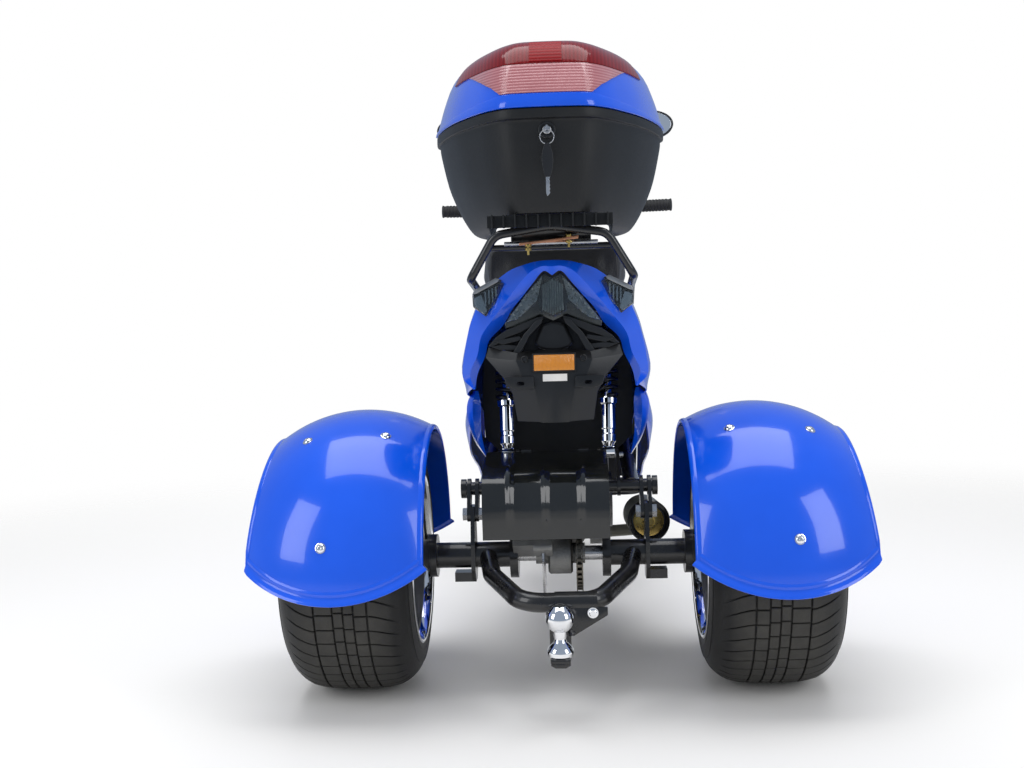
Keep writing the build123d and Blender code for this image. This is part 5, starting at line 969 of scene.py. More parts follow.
# Columns: share of the half length, rear to front, and share of the half width
plan_shares = (
    (-1.000, 0.00), (-0.992, 0.18), (-0.955, 0.34), (-0.800, 0.49), (-0.560, 0.63), (-0.280, 0.765), (0.030, 0.875),
    (0.350, 0.960), (0.620, 1.000), (0.800, 0.985), (0.930, 0.890), (0.990, 0.720), (1.000, 0.450), (1.000, 0.00),
)
plan_line = smooth_line([(x, y, 0) for x, y in plan_shares], 4)


def case_ring(length_share, width_share, z, grow):
    """One outline of the case: a narrow flat rear that widens to rounded front corners."""
    half_l, half_w = length_share * case_half_l + grow, width_share * case_half_w + grow
    lean = case_lean * (1 - length_share)
    line = [(point.x * half_l, point.y * half_w) for point in plan_line]
    ring = line + [(x, -y) for x, y in reversed(line[1:-1])]
    return [Vector((case_centre_x + lean + x, y, z)) for x, y in ring]


def case_skin(name, rows, low_z, high_z, grow=0.0, steps=3, open_low=True, open_high=True):
    """A stack of outlines, smooth between the rows."""
    line = smooth_line([(length, width, height) for height, length, width in rows], steps)
    rings = [case_ring(row.x, row.y, low_z + (high_z - low_z) * row.z, grow) for row in line]
    points = [point for ring in rings for point in ring]
    around = len(rings[0])
    faces = []
    for level in range(len(rings) - 1):
        for index in range(around):
            near, far = level * around, (level + 1) * around
            after = (index + 1) % around
            faces.append((near + index, near + after, far + after, far + index))
    if not open_low:
        faces.append(tuple(reversed(range(around))))
    if not open_high:
        faces.append(tuple(range((len(rings) - 1) * around, len(rings) * around)))
    return outward(piece_from(name, points, (), faces))


def cut_away(piece, spot, normal, fill=False):
    """Cut by a plane and clear what lies on its outer side."""
    alone(piece)
    bpy.ops.object.mode_set(mode="EDIT")
    bpy.ops.mesh.select_all(action="SELECT")
    bpy.ops.mesh.bisect(plane_co=spot, plane_no=normal, clear_outer=True, use_fill=fill)
    bpy.ops.object.mode_set(mode="OBJECT")
    return piece


case_bottom = case_skin("top_case_bottom", bottom_rows, case_floor_z, case_seam_z, open_low=False)
rack_room = slab("rack_room", [(case_centre_x - 0.3, y, z) for y, z in (
    (-0.112, 0.860), (0.112, 0.860), (0.112, 0.899), (-0.112, 0.899))], (0.6, 0, 0), 0.006, 2)
with_modifier(case_bottom, "BOOLEAN", object=rack_room, operation="DIFFERENCE", solver="EXACT")
bpy.data.objects.remove(rack_room)
with_modifier(case_bottom, "SOLIDIFY", thickness=0.0035, offset=-1.0)
dressed(case_bottom, black_plastic, "chassis", 38)

lid = case_skin("top_case_lid", lid_rows, case_seam_z, case_top_z, open_high=False)
with_modifier(lid, "SOLIDIFY", thickness=0.0035, offset=-1.0)
dressed(lid, blue, "top_lid", 40)

band_low_z, band_half_w, band_end = 1.0935, 0.076, (0.190, 1.0790)
rim_band = case_skin("lid_rim_band", lid_rows, case_seam_z, case_top_z, 0.0022, 5)
cut_away(rim_band, (0, 0, band_low_z), (0, 0, 1))
for side in (1, -1):
    slope_y, slope_z = band_end[1] - band_low_z, band_end[0] - band_half_w
    cut_away(rim_band, (0, side * band_half_w, band_low_z), (0, -side * slope_y, slope_z))
cut_away(rim_band, (case_centre_x + 0.12, 0, 0), (1, 0, 0))
with_modifier(rim_band, "SOLIDIFY", thickness=0.0030, offset=-1.0)
with_modifier(rim_band, "BEVEL", width=0.0011, segments=2, limit_method="ANGLE", angle_limit=math.radians(50))
dressed(rim_band, blue, "top_lid", 40)

lens_band_z, lens_tail_z, lens_tail_half, lens_wide_half, lens_front_x = 1.148, 1.0955, 0.079, 0.138, case_centre_x + 0.01
lens_top = case_skin("lens_band", lid_rows, case_seam_z, case_top_z, 0.0030, 5, open_high=False)
cut_away(lens_top, (0, 0, lens_band_z), (0, 0, -1))
cut_away(lens_top, (lens_front_x, 0, 0), (1, 0, 0))
with_modifier(lens_top, "SOLIDIFY", thickness=0.0028, offset=-1.0)
with_modifier(lens_top, "BEVEL", width=0.0008, segments=2, limit_method="ANGLE", angle_limit=math.radians(50))
dressed(lens_top, red_band, "top_lid", 40)
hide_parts("case_lens")

lens_tail = case_skin("lens_tail", lid_rows, case_seam_z, case_top_z, 0.0026, 6)
cut_away(lens_tail, (0, 0, lens_band_z - 0.0008), (0, 0, 1))
cut_away(lens_tail, (0, 0, lens_tail_z), (0, 0, -1))
for side in (1, -1):
    cut_away(lens_tail, (0, side * lens_tail_half, lens_tail_z), (0, side * (lens_band_z - lens_tail_z), lens_tail_half - lens_wide_half))
cut_away(lens_tail, (case_centre_x - 0.05, 0, 0), (1, 0, 0))
with_modifier(lens_tail, "SOLIDIFY", thickness=0.0026, offset=-1.0)
with_modifier(lens_tail, "BEVEL", width=0.0007, segments=2, limit_method="ANGLE", angle_limit=math.radians(50))
dressed(lens_tail, red_pale, "top_lid", 40)

block_low_z, block_high_z, block_half_w = 1.151, 1.193, 0.028
lens_block = case_skin("lens_block", lid_rows, case_seam_z, case_top_z, 0.0044, 6)
for spot, away in (((0, 0, block_low_z), (0, 0, -1)), ((0, 0, block_high_z), (0, 0, 1)), ((0, block_half_w, 0), (0, 1, 0)),
                   ((0, -block_half_w, 0), (0, -1, 0)), ((case_centre_x - 0.05, 0, 0), (1, 0, 0))):
    cut_away(lens_block, spot, away)
with_modifier(lens_block, "SOLIDIFY", thickness=0.0036, offset=-1.0)
with_modifier(lens_block, "BEVEL", width=0.0012, segments=2, limit_method="ANGLE", angle_limit=math.radians(50))
dressed(lens_block, red_dark, "top_lid", 40)

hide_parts("case_bottom")
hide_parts("case_lid")
print("case bottom triangles:", triangles(case_bottom), "lid:", triangles(lid))

# %% [markdown]
# The lock sits in a round recess, with the key in it: a split ring, a leaf-shaped rubber fob and
# the spare key's blade hang from it. The fob is a padded outline and the blade has real teeth.

# %% Lock and key
lock_face_x = rear_axle.x - 0.3215
lock_spot = Vector((lock_face_x + 0.004, 0, 1.034))
lock_ring = turned("lock_ring", ((0.0, 0.0), (0.0, 0.0145), (0.0035, 0.0145), (0.0046, 0.0132), (0.0040, 0.0105), (0.0015, 0.0098),
                                 (0.0015, 0.0)), lock_spot, (-1, 0, 0), 32)
dressed(lock_ring, black_satin, "chassis")
lock_core = turned("lock_core", ((0.0, 0.0), (0.0, 0.0072), (0.0048, 0.0072), (0.0056, 0.0062), (0.0056, 0.0)), lock_spot, (-1, 0, 0), 24)
lock_bow = slab("key_bow", [(lock_face_x - 0.0175, y, z) for y, z in (
    (-0.0016, 1.0395), (0.0016, 1.0395), (0.0016, 1.0300), (-0.0016, 1.0300))], (0.018, 0, 0), 0.0006)
fresh()
bpy.ops.mesh.primitive_torus_add(major_radius=0.0118, minor_radius=0.0010, major_segments=40, minor_segments=8,
                                 location=(lock_face_x - 0.0125, 0, 1.0205), rotation=(0, math.radians(78), 0))
split_ring = bpy.context.active_object
blade_outline = [(0.0035, 0.957), (0.0035, 0.927), (0.0018, 0.9215), (-0.0012, 0.9245)]
for tooth in range(4):
    tooth_z = 0.9275 + tooth * 0.0062
    blade_outline += [(-0.0034, tooth_z), (-0.0018, tooth_z + 0.0030)]
blade_outline += [(-0.0035, 0.953), (-0.0035, 0.957)]
blade = slab("key_blade", [(lock_face_x - 0.0135, y, z) for y, z in blade_outline], (0.0022, 0, 0), 0.0004, 1)
key_steel = joined("key_metal", [lock_core, lock_bow, split_ring, blade])
dressed(key_steel, steel, "chassis")
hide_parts("case_key")
fob_half = smooth_line([(0.0034, 1.0095, 0), (0.0075, 0.9985, 0), (0.0096, 0.9830, 0), (0.0082, 0.9680, 0), (0.0052, 0.9560, 0), (0.0040, 0.9535, 0)], 4)
fob_outline = [(point.x, point.y) for point in fob_half] + [(-point.x, point.y) for point in reversed(fob_half)]
fob = slab("key_fob", [(lock_face_x - 0.0160, y, z) for y, z in fob_outline], (0.0070, 0, 0), 0.0022, 3)
dressed(fob, frame_black, "chassis")

# %% [markdown]
# The tail is one blue moulding with a crease down each side, an arched top and two long legs that
# frame the lamp and the carrier. It is a patch between three feature lines, measured on the real
# one: the inner edge, the crease and the outer edge, with a fourth that wraps round to the side.
# The side panels further forward are a second moulding through stations that run forward from the tail's side line;
# together the two take the place of the CAD tail fairing.

# %% Tail moulding


def trike_points(rows):
    """Points from rows of millimetres: forward of the rear axle, to the left, up."""
    return [Vector((rear_axle.x + dx / 1000, y / 1000, z / 1000)) for dx, y, z in rows]


def facing(piece, direction):
    """Turn an open skin so that most of it faces a direction."""
    total = sum((face.normal * face.area for face in piece.data.polygons), Vector())
    if total.dot(Vector(direction)) < 0:
        piece.data.flip_normals()
    return piece


def patch(name, lines, steps, thick, mirror=True, bevel=0.0):
    """A skin between feature lines, smooth along them and creased across, made solid."""
    rows = [smooth_line(line, steps) if steps > 1 else line for line in lines]
    long = len(rows[0])
    faces = [(row * long + i, row * long + i + 1, (row + 1) * long + i + 1, (row + 1) * long + i)
             for row in range(len(rows) - 1) for i in range(long - 1)]
    skin = piece_from(name, [point for row in rows for point in row], (), faces)
    if mirror:
        twin = mirrored_copy(skin, f"{name}_twin")
        skin = joined(name, [skin, twin])
    outward(skin)
    facing(skin, (-1, 0, 0))
    with_modifier(skin, "SOLIDIFY", thickness=thick, offset=-1.0)
    if bevel:
        with_modifier(skin, "BEVEL", width=bevel, segments=2, limit_method="ANGLE", angle_limit=math.radians(24))
    return skin


def full(outline):
    """A half outline, from the top middle round to the bottom middle, with its other half."""
    return [*outline, *((-y, z) for y, z in reversed(outline) if y)]


def moulded(name, stations, across, along, thick, direction, mirror=False):
    """A panel through stations of points, smooth both ways, that faces a direction."""
    rows = [smooth_line(station, across) if across > 1 else station for station in stations]
    columns = [smooth_line(column, along) for column in zip(*rows)]
    long = len(columns[0])
    faces = [(column * long + i, column * long + i + 1, (column + 1) * long + i + 1, (column + 1) * long + i)
             for column in range(len(columns) - 1) for i in range(long - 1)]
    skin = facing(outward(piece_from(name, [point for column in columns for point in column], (), faces)), direction)
    with_modifier(skin, "SOLIDIFY", thickness=thick, offset=-1.0)
    with_modifier(skin, "BEVEL", width=0.0008, segments=2, limit_method="ANGLE", angle_limit=math.radians(50))
    return joined(name, [skin, mirrored_copy(skin, f"{name}_twin")]) if mirror else skin


def plate(name, outline, dx, thick, bevel=0.0, mirror=False):
    """A plate across the trike: outline in millimetres (left, up), its rear face dx forward of the axle."""
    piece = slab(name, trike_points([(dx, y, z) for y, z in outline]), (thick / 1000, 0, 0), bevel / 1000)
    if mirror:
        piece = joined(name, [piece, mirrored_copy(piece, f"{name}_twin")])
    return piece


# Columns of all four: forward of the axle, left, up, in millimetres
tail_inner = ((-158, 0, 795), (-158, 16, 803), (-156, 35, 782), (-150, 55, 758), (-140, 76, 734), (-130, 93, 706),
              (-124, 120, 679), (-122, 129, 649), (-120, 144, 617), (-116, 149, 589))
tail_crease = ((-161, 0, 811), (-162, 20, 811), (-161, 42, 800), (-156, 68, 772), (-148, 89, 746), (-140, 110, 720),
               (-134, 134, 687), (-130, 143, 651), (-126, 158, 617), (-117, 150, 588))
tail_outer = ((-150, 0, 823), (-148, 23, 822), (-141, 48, 817), (-122, 84, 804), (-100, 128, 768), (-88, 152, 724),
              (-84, 164, 688), (-86, 171, 650), (-96, 174, 610), (-112, 153, 587))
tail_side = ((-70, 0, 826), (-66, 24, 825), (-56, 54, 819), (-40, 94, 800), (-20, 140, 762), (-10, 160, 722),
             (-8, 170, 688), (-14, 175, 650), (-40, 172, 616), (-80, 152, 592))
tail_shell = patch("tail_shell", [trike_points(rows) for rows in (tail_inner, tail_crease, tail_outer, tail_side)], 4, 0.003)
dressed(tail_shell, blue, "chassis", 14)
# Stations from the tail forward: the shell's side line, then rows of the top edge, shoulder, waist and sill
side_stations = (
    tail_side,
    ((20, 74, 792), (20, 128, 762), (20, 183, 640), (20, 177, 572)),
    ((97, 115, 767), (97, 143, 744), (97, 184, 634), (97, 178, 560)),
    ((342, 130, 727), (342, 153, 706), (342, 181, 612), (342, 179, 528)),
    ((552, 110, 713), (552, 144, 693), (552, 170, 582), (548, 171, 456)),
    ((692, 98, 705), (694, 138, 686), (694, 160, 562), (676, 164, 404)),
    ((752, 94, 701), (760, 130, 680), (760, 149, 549), (734, 156, 345)),
)
column_count = 2 * (len(tail_side) - 1)
side_rows = [smooth_line(trike_points(station), column_count // (len(station) - 1)) for station in side_stations]
side_panels = moulded("side_panels", side_rows, 1, 5, 0.003, (0, 1, 0), True)
dressed(side_panels, blue, "chassis", 30)
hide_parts("tail_fairing")
print("tail shell triangles:", triangles(tail_shell))

# %% [markdown]
# The lamp is a bat-shaped smoked lens over two wings of light-emitting beads and a ribbed centre
# column. The signals are wedge-shaped, with a pale upper edge and bright ribs behind the lens.

# %% Tail lamp and turn signals
lamp_outline = ((0, 790), (15, 801), (54, 756), (89, 709), (88, 700), (60, 706), (25, 724), (0, 712))
lamp_tray = plate("lamp_tray", full(lamp_outline), -150, 16, 1.5)
dressed(lamp_tray, lamp_dark, "chassis")
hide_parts("tail_light")
wing_outline = ((16, 797), (54, 752), (84, 713), (66, 719), (28, 751), (20, 782))
lamp_wings = plate("lamp_wings", wing_outline, -154, 5, 1.0, True)
dressed(lamp_wings, steel, "chassis")
beads = []
for row, (start, end, count) in enumerate((((20, 786), (78, 716), 9), ((27, 762), (60, 724), 5))):
    for number in range(count):
        share = number / (count - 1)
        y, z = start[0] + (end[0] - start[0]) * share, start[1] + (end[1] - start[1]) * share
        spot = trike_points([(-154, y, z)])[0]
        bead = turned("lamp_bead", ((0, 0), (0, 0.0023), (0.0012, 0.0020), (0.0022, 0.0011), (0.0025, 0)), spot, (-1, 0, 0), 10)
        beads += [bead, mirrored_copy(bead, "lamp_bead_twin")]
lamp_beads = joined("lamp_beads", beads)
dressed(lamp_beads, led_bead, "chassis")
ribs = []
for rib in range(-4, 5):
    top_z, low_z = 787 - abs(rib) * 2.2, 724 + abs(rib) * 2.2
    ribs.append(round_bar("lamp_rib", trike_points([(-158 + abs(rib) * 0.7, rib * 4.2, z) for z in (low_z, (low_z + top_z) / 2, top_z)]),
                          0.0021, False))
centre_column = joined("lamp_column", ribs)
dressed(centre_column, led_bead, "chassis")
lens_outline = ((0, 789), (15, 799), (54, 754), (87, 711), (66, 717), (27, 747), (24, 730), (0, 719))
lamp_cover = plate("lamp_cover", full(lens_outline), -164, 3, 1.2)
dressed(lamp_cover, smoke_lens, "chassis")

signal_outline = ((104, 794), (89, 788), (78, 777), (93, 757), (118, 731), (125, 722), (149, 741), (150, 764), (145, 773))
signal_body = plate("signal_body", signal_outline, -122, 60, 3.0, True)
dressed(signal_body, lamp_dark, "chassis")
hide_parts("turn_signals")
signal_edge = plate("signal_edge", ((145, 773), (104, 794), (98, 791), (101, 786), (141, 766), (149, 764)), -133, 12, 1.2, True)
dressed(signal_edge, alloy, "chassis")
signal_ribs = []
for rib in range(4):
    y = 104 + rib * 6.5
    signal_ribs.append(plate("signal_rib", ((y, 779 - rib * 3), (y + 3, 777.5 - rib * 3), (y + 3, 752 - rib * 4), (y, 755 - rib * 4)),
                             -126, 5, 1.0, True))
signal_ribs.append(plate("signal_bowl", ((132, 764), (146, 758), (146, 742), (128, 728), (122, 734)), -126, 5, 2.0, True))
signal_chrome = joined("signal_chrome", signal_ribs)
dressed(signal_chrome, chrome, "chassis")
signal_lens = plate("signal_lens", ((103, 788), (90, 784), (82, 777), (96, 757), (120, 733), (126, 725), (146, 742), (147, 763), (142, 769)),
                    -131, 3, 1.2, True)
dressed(signal_lens, smoke_lens, "chassis")

# %% [markdown]
# The plate carrier is a satin moulding: a flat centre that holds the reflector, two side wings
# with sharp facets, three fins on each arm with a dark hollow between them, and two slotted tabs.
# Its facets are flat on the real one, so the patch is left creased, with only small edge rounds.

# %% Plate carrier, reflector and label
# Rows from the top lip to the bottom, each: centre, flat's edge, facet crease, wing's edge (forward, left, up)
carrier_rows = (
    ((-152, 0, 660), (-152, 36, 660), (-176, 66, 656), (-150, 120, 667)),
    ((-186, 0, 645), (-186, 37, 645), (-188, 69, 642), (-156, 126, 648)),
    ((-190, 0, 612), (-190, 37, 612), (-191, 58, 613), (-170, 95, 612)),
    ((-191, 0, 590), (-191, 36, 590), (-188, 48, 589), (-172, 78, 582)),
    ((-186, 0, 528), (-186, 24, 528), (-180, 30, 529), (-164, 70, 530)),
)
carrier_lines = [trike_points([row[column] for row in carrier_rows]) for column in range(4)]
carrier_skin = patch("carrier_skin", carrier_lines, 1, 0.004, True, 0.0009)
hollow = plate("carrier_hollow", full(((0, 722), (24, 722), (88, 698), (112, 676), (118, 664), (0, 650))), -112, 5)
top_fin = plate("carrier_top_fin", ((18, 721), (32, 718), (89, 696), (106, 684), (120, 668), (110, 668), (86, 684), (62, 692), (34, 705), (20, 714)),
                -162, 34, 1.0, True)
mid_fin = plate("carrier_mid_fin", ((110, 678), (62, 686), (57, 679), (94, 671)), -164, 34, 0.8, True)
low_fin = plate("carrier_low_fin", ((116, 668), (92, 671), (58, 668), (66, 660), (100, 662)), -164, 30, 0.8, True)
inner_arm = plate("carrier_arm", ((18, 718), (31, 714), (54, 689), (76, 654), (66, 650), (57, 661), (44, 686), (22, 708)), -170, 40, 1.2, True)
chin = plate("carrier_chin", full(((0, 712), (22, 706), (36, 672), (28, 662), (14, 658), (0, 657))), -150, 30, 5.0)
carrier = joined("carrier", [carrier_skin, hollow, top_fin, mid_fin, low_fin, inner_arm, chin])
dressed(carrier, black_satin, "chassis", 20)
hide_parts("plate_carrier")
tab_y, tab_z, slot_half_l, slot_half_h = 61, 601, 7, 3.5
tab = plate("carrier_tab", ((90, 613), (38, 613), (36, 592), (70, 590), (86, 596)), -198, 10, 1.2)
slot_line = [(tab_y + side * (slot_half_l - slot_half_h) + slot_half_h * math.sin(turn), tab_z + slot_half_h * math.cos(turn))
             for side, start in ((1, 0.0), (-1, math.pi)) for turn in [start + step / 6 * math.pi for step in range(7)]]
slot_cutter = plate("slot_cutter", slot_line, -202, 20)
with_modifier(tab, "BOOLEAN", object=slot_cutter, operation="DIFFERENCE", solver="EXACT")
bpy.data.objects.remove(slot_cutter)
tabs = joined("carrier_tabs", [tab, mirrored_copy(tab, "carrier_tab_right")])
dressed(tabs, black_satin, "chassis")
screws = []
for side in (1, -1):
    spot = trike_points([(-186, side * 53, 644)])[0]
    screws.append(turned("carrier_screw", ((0, 0), (0, 0.0068), (0.0022, 0.0066), (0.0034, 0.0052), (0.0030, 0.0046), (0.0012, 0.0036),
                                           (0.0012, 0)), spot, (-1, 0, 0), 24))
carrier_screws = joined("carrier_screws", screws)
dressed(carrier_screws, black_satin, "chassis")
reflector_frame = plate("reflector_frame", ((-39.5, 620), (39.5, 620), (39.5, 654.5), (-39.5, 654.5)), -193, 8, 1.2)
dressed(reflector_frame, black_plastic, "chassis")
reflector = plate("amber_reflector", ((-36.5, 623), (36.5, 623), (36.5, 651.5), (-36.5, 651.5)), -195.5, 5, 0.8)
dressed(reflector, amber, "chassis")
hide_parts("reflector")
label = plate("blank_label", ((-23, 603.5), (21, 603.5), (21, 616.5), (-23, 616.5)), -191.6, 1, 0.2)
dressed(label, white_label, "chassis")

# %% [markdown]
# Between the rack's tubes lie a grey cross bar, a copper bar that slants across it, and two brass
# studs with nuts: small, but bright against the black seat.

# %% Rack details
cross_bar = round_bar("rack_bar", trike_points([(-188, 84, 852), (-188, -84, 852)]), 0.0042, False)
dressed(cross_bar, steel, "chassis")
copper_bar = slab("copper_strap", trike_points([(-196, 57, 848), (-196, -49, 858), (-196, -50, 864), (-196, 57, 853)]), (0.005, 0, 0), 0.0010)
dressed(copper_bar, copper, "chassis")
studs = []
for y, low_z, high_z in ((41, 831, 850), (-32, 843, 866)):
    studs.append(round_bar("stud", trike_points([(-193, y, low_z), (-193, y, high_z)]), 0.0024, False))
    for z in (low_z + 10, high_z - 2):
        fresh()
        bpy.ops.mesh.primitive_cylinder_add(vertices=6, radius=0.0062, depth=0.005, location=trike_points([(-193, y, z)])[0])
        nut = bpy.context.active_object
        with_modifier(nut, "BEVEL", width=0.0006, segments=2, limit_method="ANGLE")
        alone(nut)
        bpy.ops.object.transform_apply(location=True, rotation=True, scale=True)
        studs.append(nut)
brass_studs = joined("rack_studs", studs)
dressed(brass_studs, brass, "chassis")

# %% [markdown]
# Under the case the wall is cut away for the rack, and a ribbed inner wall closes the opening, so
# that it reads as a dark slotted recess from behind.

# %% Recess under the case
recess_wall = plate("recess_wall", ((-109, 876), (109, 876), (109, 897), (-109, 897)), -262, 4)
recess_ribs = [plate("recess_rib", ((y - 1.5, 875), (y + 1.5, 875), (y + 1.5, 898), (y - 1.5, 898)), -276, 14, 0.4)
               for y in range(-100, 101, 20)]
recess = joined("case_recess", [recess_wall, *recess_ribs])
dressed(recess, black_plastic, "chassis")

# %% [markdown]
# The guard is a bent sheet with three ribs pressed out over the bend. The sheet is one skin whose
# columns rise at each rib and fade into the flat flanges, as a press leaves them.

# %% Rear guard
# Columns: forward of the axle, up, share of the rib's height, in millimetres
guard_route = (
    (22, 454, 0), (-30, 449, 0), (-78, 442, 0), (-100, 437, 0.5), (-124, 428, 1), (-142, 413, 1), (-152, 394, 1), (-156, 372, 1),
    (-156, 352, 0.6), (-155, 338, 0), (-152, 309, 0),
)
guard_low_y, guard_high_y, rib_pitch, rib_half_w, rib_rise = -95, 141, 66, 10, 5.0
rib_centres = [23 + step * rib_pitch for step in (-1, 0, 1)]
guard_columns = [guard_low_y, guard_high_y] + [centre + rib_half_w * share for centre in rib_centres
                                               for share in (-1, -0.7, -0.35, 0, 0.35, 0.7, 1)]
guard_line = smooth_line(guard_route, 4)
guard_points, guard_faces = [], []
for index, spot in enumerate(guard_line):
    before, after = guard_line[max(index - 1, 0)], guard_line[min(index + 1, len(guard_line) - 1)]
    run_x, run_z = after.x - before.x, after.y - before.y
    run = math.hypot(run_x, run_z)
    for y in sorted(guard_columns):
        near = min(abs(y - centre) for centre in rib_centres) / rib_half_w
        rise = rib_rise * spot.z * (0.5 + 0.5 * math.cos(math.pi * min(near, 1)))
        guard_points.append((spot.x + run_z / run * rise, y, spot.y - run_x / run * rise))
wide = len(guard_columns)
for row in range(len(guard_line) - 1):
    for column in range(wide - 1):
        corner = row * wide + column
        guard_faces.append((corner, corner + 1, corner + wide + 1, corner + wide))
guard = piece_from("guard_sheet", trike_points(guard_points), (), guard_faces)
outward(guard)
facing(guard, (-1, 0, 0.5))
with_modifier(guard, "SOLIDIFY", thickness=0.003, offset=-1.0)
dressed(guard, guard_paint, "chassis", 40)
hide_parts("rear_guard")
legs = [plate("guard_leg", ((y - 10, 352), (y + 10, 352), (y + 10, 440), (y - 10, 440)), -78, 6, 1.0) for y in (-50, 63)]
dressed(joined("guard_legs", legs), guard_paint, "chassis")

# %% [markdown]
# The hitch: a forged chrome ball with a dimple on top, dark with painted shade, a waisted neck and a wide flare,
# on a black bracket whose side plate is bolted through a sleeve on the hoop.

# %% Tow ball and bracket
ball_x = rear_axle.x - 0.302
ball_rows = [(0.0, 0.0), (0.0, 0.0118), (0.0012, 0.0134)]
for step in range(3, 15):
    turn = math.radians(-60 + step * 8.6)
    ball_rows.append((0.0255 + 0.0254 * math.sin(turn) - 0.0034, 0.0254 * math.cos(turn)))
ball_rows += [(0.0520, 0.0120), (0.0575, 0.0102), (0.0630, 0.0120), (0.0690, 0.0180), (0.0750, 0.0226), (0.0800, 0.0236),
              (0.0860, 0.0228), (0.0885, 0.0205), (0.0885, 0.0)]
ball = turned("chrome_ball", ball_rows, (ball_x, 0, 0.2195), (0, 0, -1), 48)
dressed(ball, chrome, "chassis")
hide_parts("tow_ball")
# Painted shade: the dimple gets a dark finish that stands in for the shade in its hollow.
dimple = turned("ball_dimple", ((-0.0008, 0.0), (-0.0008, 0.0092), (0.0005, 0.0100), (0.0015, 0.0)), (ball_x, 0, 0.2195), (0, 0, -1), 32)
dressed(dimple, lamp_dark, "chassis")
bracket = [
    slab("bracket_foot", trike_points([(-326, -17, 124), (-326, 17, 124), (-262, 20, 124), (-262, -20, 124)]), (0, 0, 0.007), 0.0015),
    plate("bracket_back", ((-19, 124), (19, 124), (19, 214), (-19, 214)), -268, 7, 1.5),
    plate("bracket_wing", ((-15, 212), (-84, 210), (-84, 196), (-24, 160), (-15, 160)), -278, 7, 1.5),
]
fresh()
bpy.ops.mesh.primitive_cylinder_add(vertices=6, radius=0.0175, depth=0.010, location=(ball_x, 0, 0.1185))
bracket_nut = bpy.context.active_object
bracket.append(with_modifier(bracket_nut, "BEVEL", width=0.0012, segments=2, limit_method="ANGLE"))
bracket.append(round_bar("bracket_sleeve", trike_points([(-260, 9, 216), (-260, -66, 216)]), 0.0192, False, 16))
hitch_bracket = joined("hitch_bracket", bracket)
dressed(hitch_bracket, frame_black, "chassis")
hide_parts("hitch_plate")
wing_bolt = turned("wing_bolt", ((0, 0), (0, 0.0095), (0.0015, 0.0095), (0.0016, 0.0068), (0.0060, 0.0066), (0.0068, 0.0056), (0.0068, 0)),
                   trike_points([(-278, -58, 201)])[0], (-1, 0, 0), 6 * 4)
dressed(wing_bolt, chrome, "chassis")

# %% [markdown]
# The shock absorbers are the brightest things behind: polished bodies, a collar, and black coils
# that catch the light. A coil is a helix of wire, made once and mirrored.

# %% Shock absorbers
shock_low, shock_high = trike_points([(66, 101, 446), (114, 104, 664)])
shock_axis = (shock_high - shock_low).normalized()
shock_side = shock_axis.cross(Vector((0, 1, 0))).normalized()
shock_left = shock_side.cross(shock_axis)
coil_low, coil_high, coil_r, coil_turns = 0.112, 0.208, 0.0185, 6
coil_points = []
for step in range(coil_turns * 12 + 1):
    turn = step / 12 * 2 * math.pi
    along = coil_low + (coil_high - coil_low) * step / (coil_turns * 12)
    coil_points.append(shock_low + shock_axis * along + shock_side * coil_r * math.cos(turn) + shock_left * coil_r * math.sin(turn))
coil = round_bar("shock_coil", coil_points, 0.0040, True, 8)
coils = joined("shock_coils", [coil, mirrored_copy(coil, "shock_coil_right")])
dressed(coils, frame_black, "chassis", 60)
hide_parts("shock_springs")
shock_body = turned("shock_body", (
    (0.010, 0.0), (0.010, 0.0100), (0.016, 0.0120), (0.020, 0.0148), (0.034, 0.0150), (0.036, 0.0135), (0.044, 0.0135), (0.046, 0.0152),
    (0.094, 0.0152), (0.097, 0.0190), (0.107, 0.0195), (0.110, 0.0175), (0.111, 0.0080), (0.206, 0.0080), (0.208, 0.0200),
    (0.214, 0.0200), (0.217, 0.0130), (0.222, 0.0)), shock_low, shock_axis, 40)
eyes = []
for along in (0.0, 0.223):
    spot = shock_low + shock_axis * along - Vector((0, 0.013, 0))
    eyes.append(turned("shock_eye", ((0, 0), (0, 0.0060), (0.001, 0.0125), (0.025, 0.0125), (0.026, 0.0060), (0.026, 0)), spot, (0, 1, 0), 28))
shock_half = joined("shock_half", [shock_body, *eyes])
shock_bodies = joined("shock_bodies", [shock_half, mirrored_copy(shock_half, "shock_half_right")])
dressed(shock_bodies, chrome, "chassis")
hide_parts("shocks")

# %% [markdown]
# Below the tail moulding the side skirts end in two rounded blue feet, and a black splash panel closes the view to the
# engine between them.
# The panel is a guard these trikes have, and its black also stands in for the shade that fills that gap as painted
# shade.

# %% Skirt feet and a splash panel that holds painted shade
foot_rows = (
    ((66, 158, 574), (66, 154, 551), (66, 154, 520), (66, 154, 490), (66, 150, 462), (66, 144, 440)),
    ((54, 163, 575), (50, 168, 553), (50, 169, 524), (51, 166, 494), (54, 158, 464), (60, 145, 440)),
    ((64, 167, 575), (62, 179, 555), (60, 182, 529), (62, 177, 499), (66, 165, 467), (70, 147, 440)),
    ((250, 160, 556), (250, 182, 545), (250, 187, 525), (250, 181, 498), (250, 170, 470), (250, 152, 450)),
)
feet = patch("skirt_feet", [trike_points(rows) for rows in foot_rows], 4, 0.003)
dressed(feet, blue, "chassis", 50)
# Painted shade: this black panel fills the dark gap between the feet, where only shade shows.
shade_splash = plate("shade_splash_panel", ((0, 700), (120, 690), (150, 640), (156, 560), (152, 470), (120, 440), (0, 436)), 150, 3, 0, True)
dressed(shade_splash, black_plastic, "chassis")

# %% [markdown]
# Each wheel has a polished lip and barrel inside the tyre's bead: it is the bright ring seen
# between the fender and the tyre.

